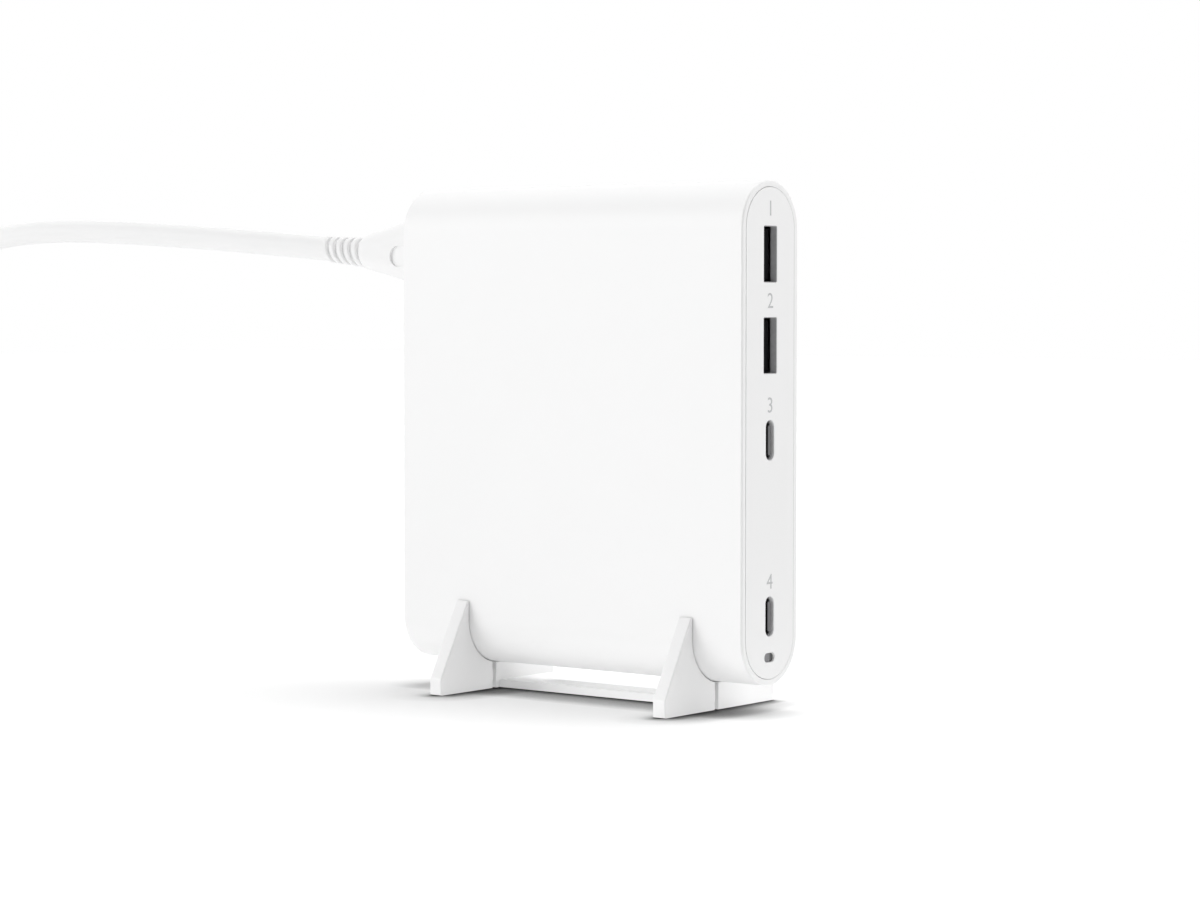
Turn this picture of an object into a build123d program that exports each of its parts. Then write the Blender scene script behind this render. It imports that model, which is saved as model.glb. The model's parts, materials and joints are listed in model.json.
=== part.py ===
from build123d import *

import math
import os

# A four-port desktop charger that stands on its long edge in a two-footed stand, with its mains lead.
# Millimetres. The floor is Z = 0, +X is the end with the ports and -Y is the front face.
# The origin is on the floor, below the middle of the housing.

# Housing, a moulded sleeve of stadium section with an end plate at each end
housing_length = 98.5
housing_height = 111.5
housing_thickness = 21.1
housing_lift = 6.3
wall = 1.4
end_edge_round = 0.3
plate_thickness = 1.6
plate_clearance = 0.15
skirt_depth = 6.0
skirt_wall = 1.2

# Ports: the upper three by the drop of each middle from the top of the housing, the others from the bottom
usb_a_drops = (16.2, 36.3)
usb_c_upper_drop = 57.2
usb_c_lower_height = 15.3
led_height = 6.2
port_board_thickness = 1.6
port_board_setback = 12.8
port_board_gap = 0.4
usb_clearance = 0.08

# USB-A receptacle
usb_a_width = 12.5
usb_a_opening = 5.12
usb_sheet = 0.3
usb_a_corner = 0.35
usb_a_base = 2.6
usb_a_tongue_width = 11.1
usb_a_tongue_thickness = 1.84
usb_a_tongue_backing = 0.7
usb_a_tongue_setback = 0.3
usb_a_contact_places = (-3.5, -1.0, 1.0, 3.5)
usb_a_contact_width = 1.0
usb_a_contact_thickness = 0.2
usb_a_contact_setback = 0.5

# USB-C receptacle
usb_c_width = 8.94
usb_c_thickness = 3.16
usb_c_setback = 1.1
usb_c_tongue_width = 6.69
usb_c_tongue_thickness = 0.7
usb_c_tongue_length = 4.45
usb_c_tongue_setback = 0.6
usb_c_contact_count = 12
usb_c_contact_pitch = 0.5
usb_c_contact_width = 0.25
usb_c_contact_thickness = 0.08
usb_c_contact_length = 3.2

# Status light
led_window_width = 4.0
led_window_height = 2.1
led_window_setback = 0.5
led_length = 3.2
led_width = 1.6
led_thickness = 1.1

# Mains inlet in the rear plate, and the connector of the lead that is in it
inlet_drop = 14.5
inlet_mouth_length = 16.6
inlet_mouth_width = 8.6
inlet_wall_side = 1.1
inlet_wall_end = 1.5
inlet_corner = 4.0
inlet_depth = 13.2
inlet_back = 3.0
pin_spacing = 8.6
pin_diameter = 2.4
pin_reach = 10.0
pin_tail = 3.5
pin_clearance = 0.05
nose_clearance = 0.3
nose_length = 12.6
nose_bore_clearance = 0.3
nose_bore_depth = 11.8
shoulder_gap = 0.4
# Distance from the shoulder, height and width of each section of the connector's body
connector_sections = ((0.0, 16.4, 10.4), (9.3, 13.4, 10.0), (17.0, 9.8, 8.8), (22.8, 7.9, 7.8))
connector_roundness = 0.47
grip_length = 9.2
grip_width = 5.8
grip_depth = 0.5
grip_cut = 1.5
grip_offset = 5.5
grip_drop = 1.2

# Ribbed strain relief, and the lead
cord_diameter = 5.8
cord_rise_deg = 4.7
cord_first_run = 60.0
bend_share = 0.45
relief_length = 10.6
relief_start_diameter = 7.7
relief_end_diameter = 6.7
relief_ribs = 5
relief_groove_width = 0.8
relief_groove_depth = 0.6

# Main board and what stands on it, all on the side that faces the front
board_thickness = 1.6
board_edge_gap = 0.35
board_end_gap = 0.3
board_hole_diameter = 3.2
board_hole_inset = 5.0
tab_length = 8.0
tab_places = (-32.0, 0.0, 32.0)
tab_clearance = 0.1
rail_width = 1.0
rail_grip = 1.5
rail_clearance = 0.1
seat_gap = 0.15
sheet_thickness = 0.4
spreader_thickness = 1.0
lining_inset = 3.0

# Components on the main board. Each place is a distance from a board end, then from a board edge or row
primary_row_drop = 30.0
fuse_inset = 21.0
fuse_diameter = 8.4
fuse_height = 8.0
thermistor_inset = 31.0
thermistor_diameter = 9.0
thermistor_thickness = 4.5
bridge_inset = 42.0
bridge_side = 13.0
bridge_height = 3.6
bridge_chamfer = 2.5
bridge_hole_diameter = 3.2
x_capacitor_inset = 6.5
x_capacitor_length = 17.0
x_capacitor_width = 8.5
x_capacitor_height = 10.5
x_capacitor_corner = 1.0
choke_inset = 22.5
choke_outer = 15.0
choke_inner = 8.0
choke_thickness = 5.5
winding_thickness = 1.2
winding_arc_deg = 130.0
core_clearance = 0.1
y_capacitor_inset = 35.0
y_capacitor_diameter = 8.0
y_capacitor_thickness = 4.0
bulk_capacitor_count = 2
bulk_capacitor_inset = 6.5
bulk_capacitor_pitch = 11.0
bulk_capacitor_rise = 9.0
bulk_capacitor_diameter = 10.0
bulk_capacitor_length = 32.0
can_groove_from_end = 2.8
can_groove_depth = 0.6
can_edge = 0.5
mosfet_inset = 30.0
mosfet_rise = 28.0
mosfet_width = 10.0
mosfet_body = 9.2
mosfet_tab = 6.3
mosfet_height = 4.4
mosfet_tab_thickness = 1.3
mosfet_hole_diameter = 3.7
finger_width = 8.0
finger_foot = 6.0
transformer_inset = 15.0
transformer_rise = 50.0
core_width = 26.0
core_length = 24.0
core_leg = 7.0
core_side = 3.0
core_yoke = 3.5
core_lift = 2.0
bobbin_wall = 0.7
bobbin_flange = 1.0
bobbin_height = 11.0
winding_gap = 0.2
output_capacitor_count = 4
output_capacitor_inset = 27.5
output_capacitor_pitch = 9.5
output_capacitor_rise = 13.0
output_capacitor_diameter = 8.0
output_capacitor_height = 10.0
inductor_inset = 8.0
inductor_pitch = 12.0
inductor_rise = 13.0
inductor_drop = 9.0
inductor_side = 10.0
inductor_height = 4.5
inductor_corner = 1.5
chip_side = 5.0
chip_height = 0.9
chip_y = -2.0
controller_inset = 29.0
controller_drop = 24.0
controller_length = 6.2
controller_width = 5.0
controller_height = 1.7
controller_corner = 0.5

# Stand
fin_thickness = 3.45
fin_tip_height = 21.3
fin_tip_flat = 0.35
fin_reach = 20.76
toe_height = 3.8
left_foot_inset = 18.7
right_foot_inset = 15.05
saddle_clearance = 0.15
seam_offset = 1.5
seam_width = 1.4
spigot_length = 6.0
spigot_width = 1.7
spigot_height = 2.8
spigot_lift = 1.6
spigot_corner = 0.4
spigot_clearance = 0.1
cross_plate_thickness = 1.8
cross_plate_front = 0.5
cross_slot_inset = 9.5
cross_slot_width = 7.0
cross_slot_front = 1.6

# Wall plug, with two flat blades
plug_width = 24.0
plug_thickness = 14.0
plug_body_length = 16.0
plug_taper_length = 11.0
plug_neck = 8.4
plug_corner = 4.5
plug_relief_length = 9.0
plug_relief_diameter = 8.0
plug_relief_ribs = 4
plug_y = -10.5
blade_spacing = 12.7
blade_width = 6.35
blade_thickness = 1.5
blade_reach = 17.0
blade_root = 9.0
blade_hole_diameter = 3.1
blade_hole_from_tip = 4.0
blade_clearance = 0.05

# Put-away part of the lead, a hank of flat laps held by two straps
hank_laps = 4
hank_start_x = -333.0
hank_run = 87.0
hank_radius = 18.5
hank_clearance = 0.4
tie_thickness = 0.8
tie_width = 10.0
tie_clearance = 0.2
tail_run = 18.0
tail_shift = 20.0

# Places that follow from the sizes above
port_x = housing_length / 2
rear_x = -port_x
mid_z = housing_lift + housing_height / 2
top_z = housing_lift + housing_height
usb_a_levels = [top_z - drop for drop in usb_a_drops]
usb_c_levels = [top_z - usb_c_upper_drop, housing_lift + usb_c_lower_height]
led_z = housing_lift + led_height
inner_height = housing_height - 2 * wall
inner_thickness = housing_thickness - 2 * wall
inner_radius = inner_thickness / 2
flat_half_height = (housing_height - housing_thickness) / 2
plate_height = inner_height - 2 * plate_clearance
plate_width = inner_thickness - 2 * plate_clearance
port_board_front_x = port_x - port_board_setback
port_board_rear_x = port_board_front_x - port_board_thickness
inlet_z = top_z - inlet_drop
inlet_mouth_x = rear_x + plate_thickness + plate_clearance
inlet_back_x = inlet_mouth_x + inlet_depth + inlet_back
inlet_width = inlet_mouth_width + 2 * inlet_wall_side
board_face_y = inlet_width / 2
board_back_y = board_face_y + board_thickness
board_rear_x = rear_x + plate_thickness + skirt_depth + board_end_gap
board_front_x = port_board_rear_x - board_end_gap
board_half_height = flat_half_height + math.sqrt(inner_radius**2 - board_back_y**2) - board_edge_gap
spreader_face_y = -inner_radius + seat_gap + spreader_thickness
shoulder_x = rear_x - shoulder_gap
cord_radius = cord_diameter / 2
inlet_row = inlet_z - mid_z
primary_row = board_half_height - primary_row_drop
left_foot_x = rear_x + left_foot_inset
right_foot_x = port_x - right_foot_inset
seam_rear_y = seam_width / 2 - seam_offset

# Where the lead goes: straight out of the connector, over and down, and into the top lap of the hank
hank_top_z = tie_thickness + cord_radius + (hank_laps - 1) * cord_diameter
hank_low_z = tie_thickness + cord_radius
cord_points = [
    (-206.0, 3.0, 110.5),
    (-242.0, 9.0, 101.0),
    (-266.0, 14.0, 73.0),
    (-282.0, 18.0, 43.0),
    (-304.0, hank_radius, hank_top_z),
    (hank_start_x, hank_radius, hank_top_z),
]
tail_points = [
    (hank_start_x, -hank_radius, hank_low_z),
    (hank_start_x + tail_run, -hank_radius, hank_low_z),
    (hank_start_x + tail_run + tail_shift, plug_y, plug_thickness / 2),
    (hank_start_x + 2 * tail_run + tail_shift, plug_y, plug_thickness / 2),
]


def across(x, z=mid_z):
    """A plane that faces +X, with its own x along Y and its own y up."""
    return Plane(origin=(x, 0, z), x_dir=(0, 1, 0), z_dir=(1, 0, 0))


def on_board(x=0.0, z=0.0):
    """A plane on the component side of the main board, placed from the board's middle, facing the front."""
    return Plane(origin=(x, board_face_y, mid_z + z), x_dir=(1, 0, 0), z_dir=(0, -1, 0))


def stadium(height, thickness):
    return SlotOverall(height, thickness, rotation=90)


def save(name, shape):
    shape.label = name
    export_step(shape, f"parts/{name}.step")


def group(solids):
    return Compound(children=list(solids))


def housing_sleeve():
    section = stadium(housing_height, housing_thickness) - stadium(inner_height, inner_thickness)
    sleeve = extrude(across(0) * section, housing_length / 2, both=True)
    rims = sleeve.faces().sort_by(Axis.X)
    outer_edges = rims[0].outer_wire().edges() + rims[-1].outer_wire().edges()
    sleeve = fillet(outer_edges, end_edge_round)
    # Pairs of rails hold the long edges of the main board, the upper pair from behind the inlet onwards
    middle_y = (board_face_y + board_back_y) / 2
    beside = board_thickness / 2 + rail_clearance + rail_width / 2
    rail_foot = board_half_height - rail_grip
    rail_height = housing_height / 2 - rail_foot
    for side, start_x in ((-1, board_rear_x), (1, inlet_back_x + board_end_gap)):
        strips = Sketch()
        for y in (middle_y - beside, middle_y + beside):
            strips += Pos(y, side * (rail_foot + rail_height / 2)) * Rectangle(rail_width, rail_height)
        strips = strips & stadium(inner_height + wall, inner_thickness + wall)
        sleeve += extrude(across(start_x) * strips, board_front_x - start_x)
    return sleeve


def end_plate(outer_x, inward):
    """A stadium plate flush with the end of the sleeve, with a skirt that slides into it."""
    plate = extrude(across(outer_x) * stadium(plate_height, plate_width), inward * plate_thickness)
    ring = stadium(plate_height, plate_width)
    ring -= stadium(plate_height - 2 * skirt_wall, plate_width - 2 * skirt_wall)
    return plate + extrude(across(outer_x + inward * plate_thickness) * ring, inward * skirt_depth)


def port_face_plate():
    holes = Sketch()
    for z in usb_a_levels:
        holes += Pos(0, z - mid_z) * RectangleRounded(usb_a_opening, usb_a_width, usb_a_corner)
    for z in usb_c_levels:
        opening = stadium(usb_c_width + 2 * usb_clearance, usb_c_thickness + 2 * usb_clearance)
        holes += Pos(0, z - mid_z) * opening
    holes += Pos(0, led_z - mid_z) * SlotOverall(led_window_width, led_window_height)
    return end_plate(port_x, -1) - extrude(across(port_x) * holes, -plate_thickness)


def rear_face_plate():
    mouth = across(rear_x, inlet_z) * stadium(inlet_mouth_length, inlet_mouth_width)
    return end_plate(rear_x, 1) - extrude(mouth, plate_thickness)


def main_board():
    length = board_front_x - board_rear_x
    middle_x = (board_front_x + board_rear_x) / 2
    outline = Pos(middle_x, 0) * Rectangle(length, 2 * board_half_height)
    tab_reach = board_end_gap + port_board_thickness
    for z in tab_places:
        outline += Pos(board_front_x + tab_reach / 2, z) * Rectangle(tab_reach, tab_length)
    for x in (board_rear_x + board_hole_inset, board_front_x - board_hole_inset):
        outline -= Pos(x, board_hole_inset - board_half_height) * Circle(board_hole_diameter / 2)
    return extrude(on_board() * outline, -board_thickness)


def port_board():
    gap = 2 * port_board_gap
    outline = stadium(inner_height - gap, inner_thickness - gap)
    middle_y = (board_face_y + board_back_y) / 2
    for z in tab_places:
        slot = Rectangle(board_thickness + 2 * tab_clearance, tab_length + 2 * tab_clearance)
        outline -= Pos(middle_y, z) * slot
    return extrude(across(port_board_rear_x) * outline, port_board_thickness)


def usb_a(level):
    """Shell, insulator with its tongue, and the four contacts of one upright USB-A receptacle."""
    base = across(port_board_front_x, level)
    length = port_board_setback - plate_thickness - usb_clearance
    inside = RectangleRounded(usb_a_opening, usb_a_width, usb_a_corner)
    outside = RectangleRounded(
        usb_a_opening + 2 * usb_sheet, usb_a_width + 2 * usb_sheet, usb_a_corner + usb_sheet
    )
    shell = extrude(base * (outside - inside), length)
    block = RectangleRounded(
        usb_a_opening - 2 * usb_clearance, usb_a_width - 2 * usb_clearance, usb_a_corner
    )
    tongue_y = usb_a_opening / 2 - usb_a_tongue_backing - usb_a_tongue_thickness / 2
    tongue_length = length - usb_a_tongue_setback
    tongue = Pos(tongue_y, 0) * Rectangle(usb_a_tongue_thickness, usb_a_tongue_width)
    insulator = extrude(base * block, usb_a_base) + extrude(base * tongue, tongue_length)
    strip_y = tongue_y - usb_a_tongue_thickness / 2 - usb_a_contact_thickness / 2
    strip = Rectangle(usb_a_contact_thickness, usb_a_contact_width)
    strip_length = tongue_length - usb_a_base - usb_a_contact_setback
    contacts = []
    for z in usb_a_contact_places:
        contacts.append(extrude(base.offset(usb_a_base) * Pos(strip_y, z) * strip, strip_length))
    return shell, insulator, group(contacts)


def usb_c(level):
    """Shell, insulator with its tongue, and the two rows of contacts of one upright USB-C receptacle."""
    base = across(port_board_front_x, level)
    length = port_board_setback - usb_c_setback
    inner_width = usb_c_width - 2 * usb_sheet
    inner_opening = usb_c_thickness - 2 * usb_sheet
    shell = extrude(
        base * (stadium(usb_c_width, usb_c_thickness) - stadium(inner_width, inner_opening)), length
    )
    tongue_end = length - usb_c_tongue_setback
    block_length = tongue_end - usb_c_tongue_length
    block = stadium(inner_width - 2 * usb_clearance, inner_opening - 2 * usb_clearance)
    tongue = Rectangle(usb_c_tongue_thickness, usb_c_tongue_width)
    insulator = extrude(base * block, block_length) + extrude(base * tongue, tongue_end)
    strip = Rectangle(usb_c_contact_thickness, usb_c_contact_width)
    strip_y = (usb_c_tongue_thickness + usb_c_contact_thickness) / 2
    contacts = []
    for side in (-1, 1):
        for n in range(usb_c_contact_count):
            z = (n - (usb_c_contact_count - 1) / 2) * usb_c_contact_pitch
            place = base.offset(block_length) * Pos(side * strip_y, z)
            contacts.append(extrude(place * strip, usb_c_contact_length))
    return shell, insulator, group(contacts)


def status_light():
    """The light on the port board, and the light pipe that carries it to the window in the plate."""
    base = across(port_board_front_x, led_z)
    led = extrude(base * Rectangle(led_length, led_width), led_thickness)
    pipe = SlotOverall(led_window_width - 2 * usb_clearance, led_window_height - 2 * usb_clearance)
    pipe_start = led_thickness + seat_gap
    pipe_length = port_board_setback - led_window_setback - pipe_start
    return led, extrude(base.offset(pipe_start) * pipe, pipe_length)


def mains_inlet():
    """The inlet behind the rear plate, lying against the main board, and its two pins."""
    base = across(inlet_mouth_x, inlet_z)
    outside = RectangleRounded(inlet_width, inlet_mouth_length + 2 * inlet_wall_end, inlet_corner)
    body = extrude(base * outside, inlet_depth + inlet_back)
    body -= extrude(base * stadium(inlet_mouth_length, inlet_mouth_width), inlet_depth)
    pin_places = [Pos(0, side * pin_spacing / 2) for side in (-1, 1)]
    pins = []
    for place in pin_places:
        hole = place * Circle(pin_diameter / 2 + pin_clearance)
        body -= extrude(base.offset(inlet_depth) * hole, inlet_back)
        pin = extrude(
            base.offset(inlet_depth - pin_reach) * place * Circle(pin_diameter / 2),
            pin_reach + inlet_back + pin_tail,
        )
        tip = pin.faces().sort_by(Axis.X)[0]
        pins.append(fillet(tip.edges(), pin_diameter / 3))
    return body, group(pins)


def connector_section(distance, height, width):
    radius = connector_roundness * min(height, width)
    return across(shoulder_x - distance, inlet_z) * RectangleRounded(width, height, radius)


def relief_profile(length, start, end, cord, ribs):
    """Half of a ribbed, tapering sleeve round the lead, drawn along +X from the origin."""
    pitch = length / ribs
    outline = [(0, 0)]
    for n in range(ribs):
        near = n * pitch
        slope = (end - start) / 2 / length
        outline += [
            (near, start / 2 + slope * near - relief_groove_depth),
            (near + relief_groove_width, start / 2 + slope * near - relief_groove_depth),
            (near + relief_groove_width, start / 2 + slope * near),
            (near + pitch, start / 2 + slope * (near + pitch)),
        ]
    outline += [(length, cord / 2), (length, 0)]
    return make_face(Polyline(*outline, close=True))


def cord_connector():
    """The moulded connector: a nose in the inlet, a body that flares to it, and a ribbed strain relief."""
    body = loft([connector_section(*section) for section in connector_sections])
    nose = stadium(inlet_mouth_length - 2 * nose_clearance, inlet_mouth_width - 2 * nose_clearance)
    body += extrude(across(shoulder_x, inlet_z) * nose, nose_length)
    bore = Circle(pin_diameter / 2 + nose_bore_clearance)
    for side in (-1, 1):
        place = across(shoulder_x + nose_length, inlet_z) * Pos(0, side * pin_spacing / 2)
        body -= extrude(place * bore, -nose_bore_depth)
    # A shallow thumb recess on each flat side
    for side in (-1, 1):
        face_y = side * connector_sections[1][2] / 2
        floor = Plane(
            origin=(shoulder_x - grip_offset, face_y - side * grip_depth, inlet_z - grip_drop),
            x_dir=(1, 0, 0),
            z_dir=(0, side, 0),
        )
        body -= extrude(floor * SlotOverall(grip_length, grip_width), grip_cut)
    profile = relief_profile(
        relief_length, relief_start_diameter, relief_end_diameter, cord_diameter, relief_ribs
    )
    relief = revolve(Plane.XY * profile, Axis.X)
    return body + relief_location() * relief


def relief_location():
    """Where the strain relief starts, with +X turned to the way that the lead leaves."""
    start = Vector(shoulder_x - connector_sections[-1][0], 0, inlet_z)
    return Location(Plane(origin=start, x_dir=lead_direction(), z_dir=(0, 1, 0)))


def lead_direction():
    rise = math.radians(cord_rise_deg)
    return Vector(-math.cos(rise), 0, math.sin(rise))


def rounded_route(points):
    """Straight runs joined by arcs that are as large as the runs allow."""
    points = [Vector(*point) for point in points]
    radii = []
    for before, corner, after in zip(points, points[1:], points[2:]):
        shorter = min((corner - before).length, (after - corner).length)
        turn = math.radians((corner - before).get_angle(after - corner))
        radii.append(bend_share * shorter / math.tan(turn / 2))
    print("bend radii", [round(radius, 1) for radius in radii])
    return FilletPolyline(*points, radius=radii)


def cord_tube(points):
    route = rounded_route(points)
    section = Plane(origin=route @ 0, z_dir=route % 0) * Circle(cord_radius)
    tube = sweep(section, path=route)
    ratio = tube.volume / (math.pi * cord_radius**2 * route.length)
    print("lead length", round(route.length, 1), "volume against section times length", round(ratio, 4))
    return tube


def lead_route():
    start = Vector(shoulder_x - connector_sections[-1][0], 0, inlet_z) + lead_direction() * relief_length
    return [start, start + lead_direction() * cord_first_run, *cord_points]


def hank():
    """The outer shape of the laps, cut away where the lead comes in on top and leaves below."""
    middle_x = hank_start_x - hank_run / 2
    outer = SlotOverall(hank_run + 2 * hank_radius + cord_diameter, 2 * hank_radius + cord_diameter)
    inner = SlotOverall(hank_run + 2 * hank_radius - cord_diameter, 2 * hank_radius - cord_diameter)
    height = hank_laps * cord_diameter
    laps = extrude(Plane.XY * Pos(middle_x, 0, tie_thickness) * (outer - inner), height)
    quarter = 2 * hank_radius
    over = Box(quarter, quarter, height, align=(Align.MIN, Align.MIN, Align.MIN))
    under = Box(quarter, quarter, cord_diameter + hank_clearance, align=(Align.MIN, Align.MAX, Align.MIN))
    top_layer = hank_top_z - cord_radius - hank_clearance
    laps -= Pos(hank_start_x, 0, top_layer) * over
    return laps - Pos(hank_start_x, 0, tie_thickness) * under


def cord_ties():
    """Two straps that hold the laps, one round each side of the hank."""
    inside_width = cord_diameter + 2 * tie_clearance
    inside_height = hank_laps * cord_diameter + tie_clearance
    outer = Rectangle(
        inside_width + 2 * tie_thickness,
        inside_height + 2 * tie_thickness,
        align=(Align.CENTER, Align.MIN),
    )
    inner = Rectangle(inside_width, inside_height, align=(Align.CENTER, Align.MIN))
    middle_x = hank_start_x - hank_run / 2
    straps = []
    for side in (-1, 1):
        section = Pos(side * hank_radius, 0) * (outer - Pos(0, tie_thickness) * inner)
        straps.append(extrude(across(middle_x, 0) * section, tie_width / 2, both=True))
    return group(straps)


def wall_plug():
    """The plug's moulded body with its ribbed neck, and its two blades, lying flat on the floor."""
    x, y, z = tail_points[-1]
    neck_x = x + plug_relief_length
    start = Plane(origin=(neck_x, y, z), x_dir=(0, 1, 0), z_dir=(1, 0, 0))
    wide = RectangleRounded(plug_width, plug_thickness, plug_corner)
    narrow = RectangleRounded(plug_neck, plug_neck, plug_neck * connector_roundness)
    body = loft([start * narrow, start.offset(plug_taper_length) * wide])
    body += extrude(start.offset(plug_taper_length) * wide, plug_body_length)
    profile = relief_profile(
        plug_relief_length, plug_relief_diameter, relief_end_diameter, cord_diameter, plug_relief_ribs
    )
    relief = revolve(Plane.XY * profile, Axis.X)
    body += Location(Plane(origin=(neck_x, y, z), x_dir=(-1, 0, 0), z_dir=(0, 1, 0))) * relief
    face_x = neck_x + plug_taper_length + plug_body_length
    root = start.offset(plug_taper_length + plug_body_length - blade_root)
    hole = Plane(
        origin=(face_x + blade_reach - blade_hole_from_tip, y, z), x_dir=(1, 0, 0), z_dir=(0, 1, 0)
    )
    blades = []
    for side in (-1, 1):
        place = root * Pos(side * blade_spacing / 2, 0)
        pocket = Rectangle(blade_thickness + 2 * blade_clearance, blade_width + 2 * blade_clearance)
        body -= extrude(place * pocket, blade_root)
        blade = extrude(place * Rectangle(blade_thickness, blade_width), blade_root + blade_reach)
        blades.append(blade - extrude(hole * Circle(blade_hole_diameter / 2), plug_width, both=True))
    return body, group(blades)


def foot(x, side):
    """Half of a foot, on the front (-1) or the rear (1): a wedge whose inner edge fits the housing."""
    seat = housing_thickness / 2 + saddle_clearance
    seam_y = side * seam_width / 2 - seam_offset
    outline = Polyline(
        (seam_y, 0),
        (side * fin_reach, 0),
        (side * fin_reach, toe_height),
        (side * (seat + fin_tip_flat), fin_tip_height),
        (seam_y, fin_tip_height),
        close=True,
    )
    wedge = extrude(across(x, 0) * make_face(outline), fin_thickness / 2, both=True)
    room = stadium(housing_height + 2 * saddle_clearance, 2 * seat)
    return wedge - extrude(across(x) * room, fin_thickness, both=True)


def spigot(x, clearance):
    """The peg on the rear half of a foot that plugs into the front half."""
    section = RectangleRounded(
        spigot_width + 2 * clearance, spigot_height + 2 * clearance, spigot_corner
    )
    start = Plane(
        origin=(x, seam_rear_y, spigot_lift + spigot_height / 2), x_dir=(1, 0, 0), z_dir=(0, -1, 0)
    )
    return extrude(start * section, seam_width + spigot_length + clearance)


def can(diameter, length):
    """A capacitor can along +Z from the origin, with the crimped groove near its open end."""
    r = diameter / 2
    outline = Polyline(
        (0, 0),
        (r - can_edge, 0),
        (r, can_edge),
        (r, can_groove_from_end - can_groove_depth),
        (r - can_groove_depth, can_groove_from_end),
        (r, can_groove_from_end + can_groove_depth),
        (r, length - can_edge),
        (r - can_edge, length),
        (0, length),
        close=True,
    )
    return revolve(Plane.XZ * make_face(outline), Axis.Z)


def block(x, z, length, width, height, corner):
    """A moulded block on the main board with rounded corners and a rounded top edge."""
    body = extrude(on_board(x, z) * RectangleRounded(length, width, corner), height)
    return fillet(body.faces().sort_by(Axis.Y)[0].edges(), corner / 3)


def disc(x, z, diameter, thickness):
    """A coated disc that stands on the main board, with its axis along X."""
    middle = Plane(
        origin=(x, board_face_y - seat_gap - diameter / 2, mid_z + z), x_dir=(0, 1, 0), z_dir=(1, 0, 0)
    )
    body = extrude(middle * Circle(diameter / 2), thickness / 2, both=True)
    return fillet(body.edges().filter_by(GeomType.CIRCLE), thickness / 4)


def fuse():
    body = extrude(on_board(board_rear_x + fuse_inset, inlet_row) * Circle(fuse_diameter / 2), fuse_height)
    return fillet(body.faces().sort_by(Axis.Y)[0].edges(), fuse_diameter / 10)


def bridge_rectifier():
    outline = Rectangle(bridge_side, bridge_side)
    outline = chamfer(outline.vertices().sort_by(Axis.X)[-1], bridge_chamfer)
    outline -= Circle(bridge_hole_diameter / 2)
    return extrude(on_board(board_rear_x + bridge_inset, inlet_row) * outline, bridge_height)


def choke():
    """A ring core lying on the board, and the two windings that wrap its sides."""
    place = on_board(board_rear_x + choke_inset, primary_row).offset(seat_gap + winding_thickness)
    outer = choke_outer / 2
    inner = choke_inner / 2
    core = extrude(Plane.XY * (Circle(outer) - Circle(inner)), choke_thickness)
    middle = Pos((outer + inner) / 2, choke_thickness / 2)
    wrap = Rectangle(
        outer - inner + 2 * (winding_thickness - core_clearance),
        choke_thickness + 2 * winding_thickness,
    )
    room = Rectangle(outer - inner + 2 * core_clearance, choke_thickness + 2 * core_clearance)
    half = revolve(Plane.XZ * (middle * (wrap - room)), Axis.Z, winding_arc_deg)
    windings = [place * (Rot(0, 0, turn - winding_arc_deg / 2) * half) for turn in (0, 180)]
    return place * core, group(windings)


def mosfet_x():
    return board_rear_x + mosfet_inset


def mosfet_z():
    return mosfet_rise - board_half_height


def power_mosfet():
    """A flat power transistor: a moulded body on a metal tab with a hole."""
    place = on_board(mosfet_x(), mosfet_z())
    body = extrude(place * Rectangle(mosfet_width, mosfet_body), mosfet_height)
    tab = Rectangle(mosfet_width, mosfet_tab) - Circle(mosfet_hole_diameter / 2)
    tab_middle = Pos(0, (mosfet_body + mosfet_tab) / 2)
    return body + extrude(place * tab_middle * tab, mosfet_tab_thickness)


def heat_spreader():
    """A plate along the front wall, with a finger bent down onto the power transistor."""
    plate = lining(spreader_face_y - spreader_thickness, spreader_thickness)
    foot_y = board_face_y - mosfet_height
    drop = foot_y - spreader_face_y
    web = Box(spreader_thickness, drop, finger_width, align=(Align.MIN, Align.MAX, Align.CENTER))
    pad = Box(finger_foot, spreader_thickness, finger_width, align=(Align.MIN, Align.MAX, Align.CENTER))
    bend = Pos(mosfet_x() - finger_foot / 2, foot_y, mid_z + mosfet_z())
    return plate + bend * (web + pad)


def transformer():
    """The closed core, the bobbin on its middle leg and the winding between the bobbin's flanges."""
    place = on_board(board_front_x - transformer_inset, transformer_rise - board_half_height)
    window = (core_width - core_leg - 2 * core_side) / 2
    window_length = core_length - 2 * core_yoke
    frame = Rectangle(core_width, core_length)
    for side in (-1, 1):
        frame -= Pos(side * (core_leg + window) / 2, 0) * Rectangle(window, window_length)
    core = extrude(place.offset(core_lift) * frame, core_leg)
    middle = core_lift + core_leg / 2
    leg = core_leg + 2 * core_clearance
    spool = leg + 2 * bobbin_wall
    flange = Rectangle(core_leg + 2 * window - 2 * core_clearance, bobbin_height)
    tube_length = window_length - 2 * core_clearance
    along = Plane(origin=(0, 0, middle), x_dir=(1, 0, 0), z_dir=(0, 1, 0))
    bobbin = extrude(along * Rectangle(spool, spool), tube_length / 2, both=True)
    for side in (-1, 1):
        start = along.offset(side * tube_length / 2)
        bobbin += extrude(start * flange, -side * bobbin_flange)
    hole = extrude(along * Rectangle(leg, leg), tube_length, both=True)
    coil_width = core_leg + 2 * window - 4 * winding_gap
    coil = RectangleRounded(coil_width, bobbin_height - 4 * winding_gap, 2 * bobbin_flange)
    coil -= Rectangle(spool + 2 * core_clearance, spool + 2 * core_clearance)
    coil_half = tube_length / 2 - bobbin_flange - winding_gap
    winding = extrude(along * coil, coil_half, both=True)
    return core, place * (bobbin - hole), place * winding


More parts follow.
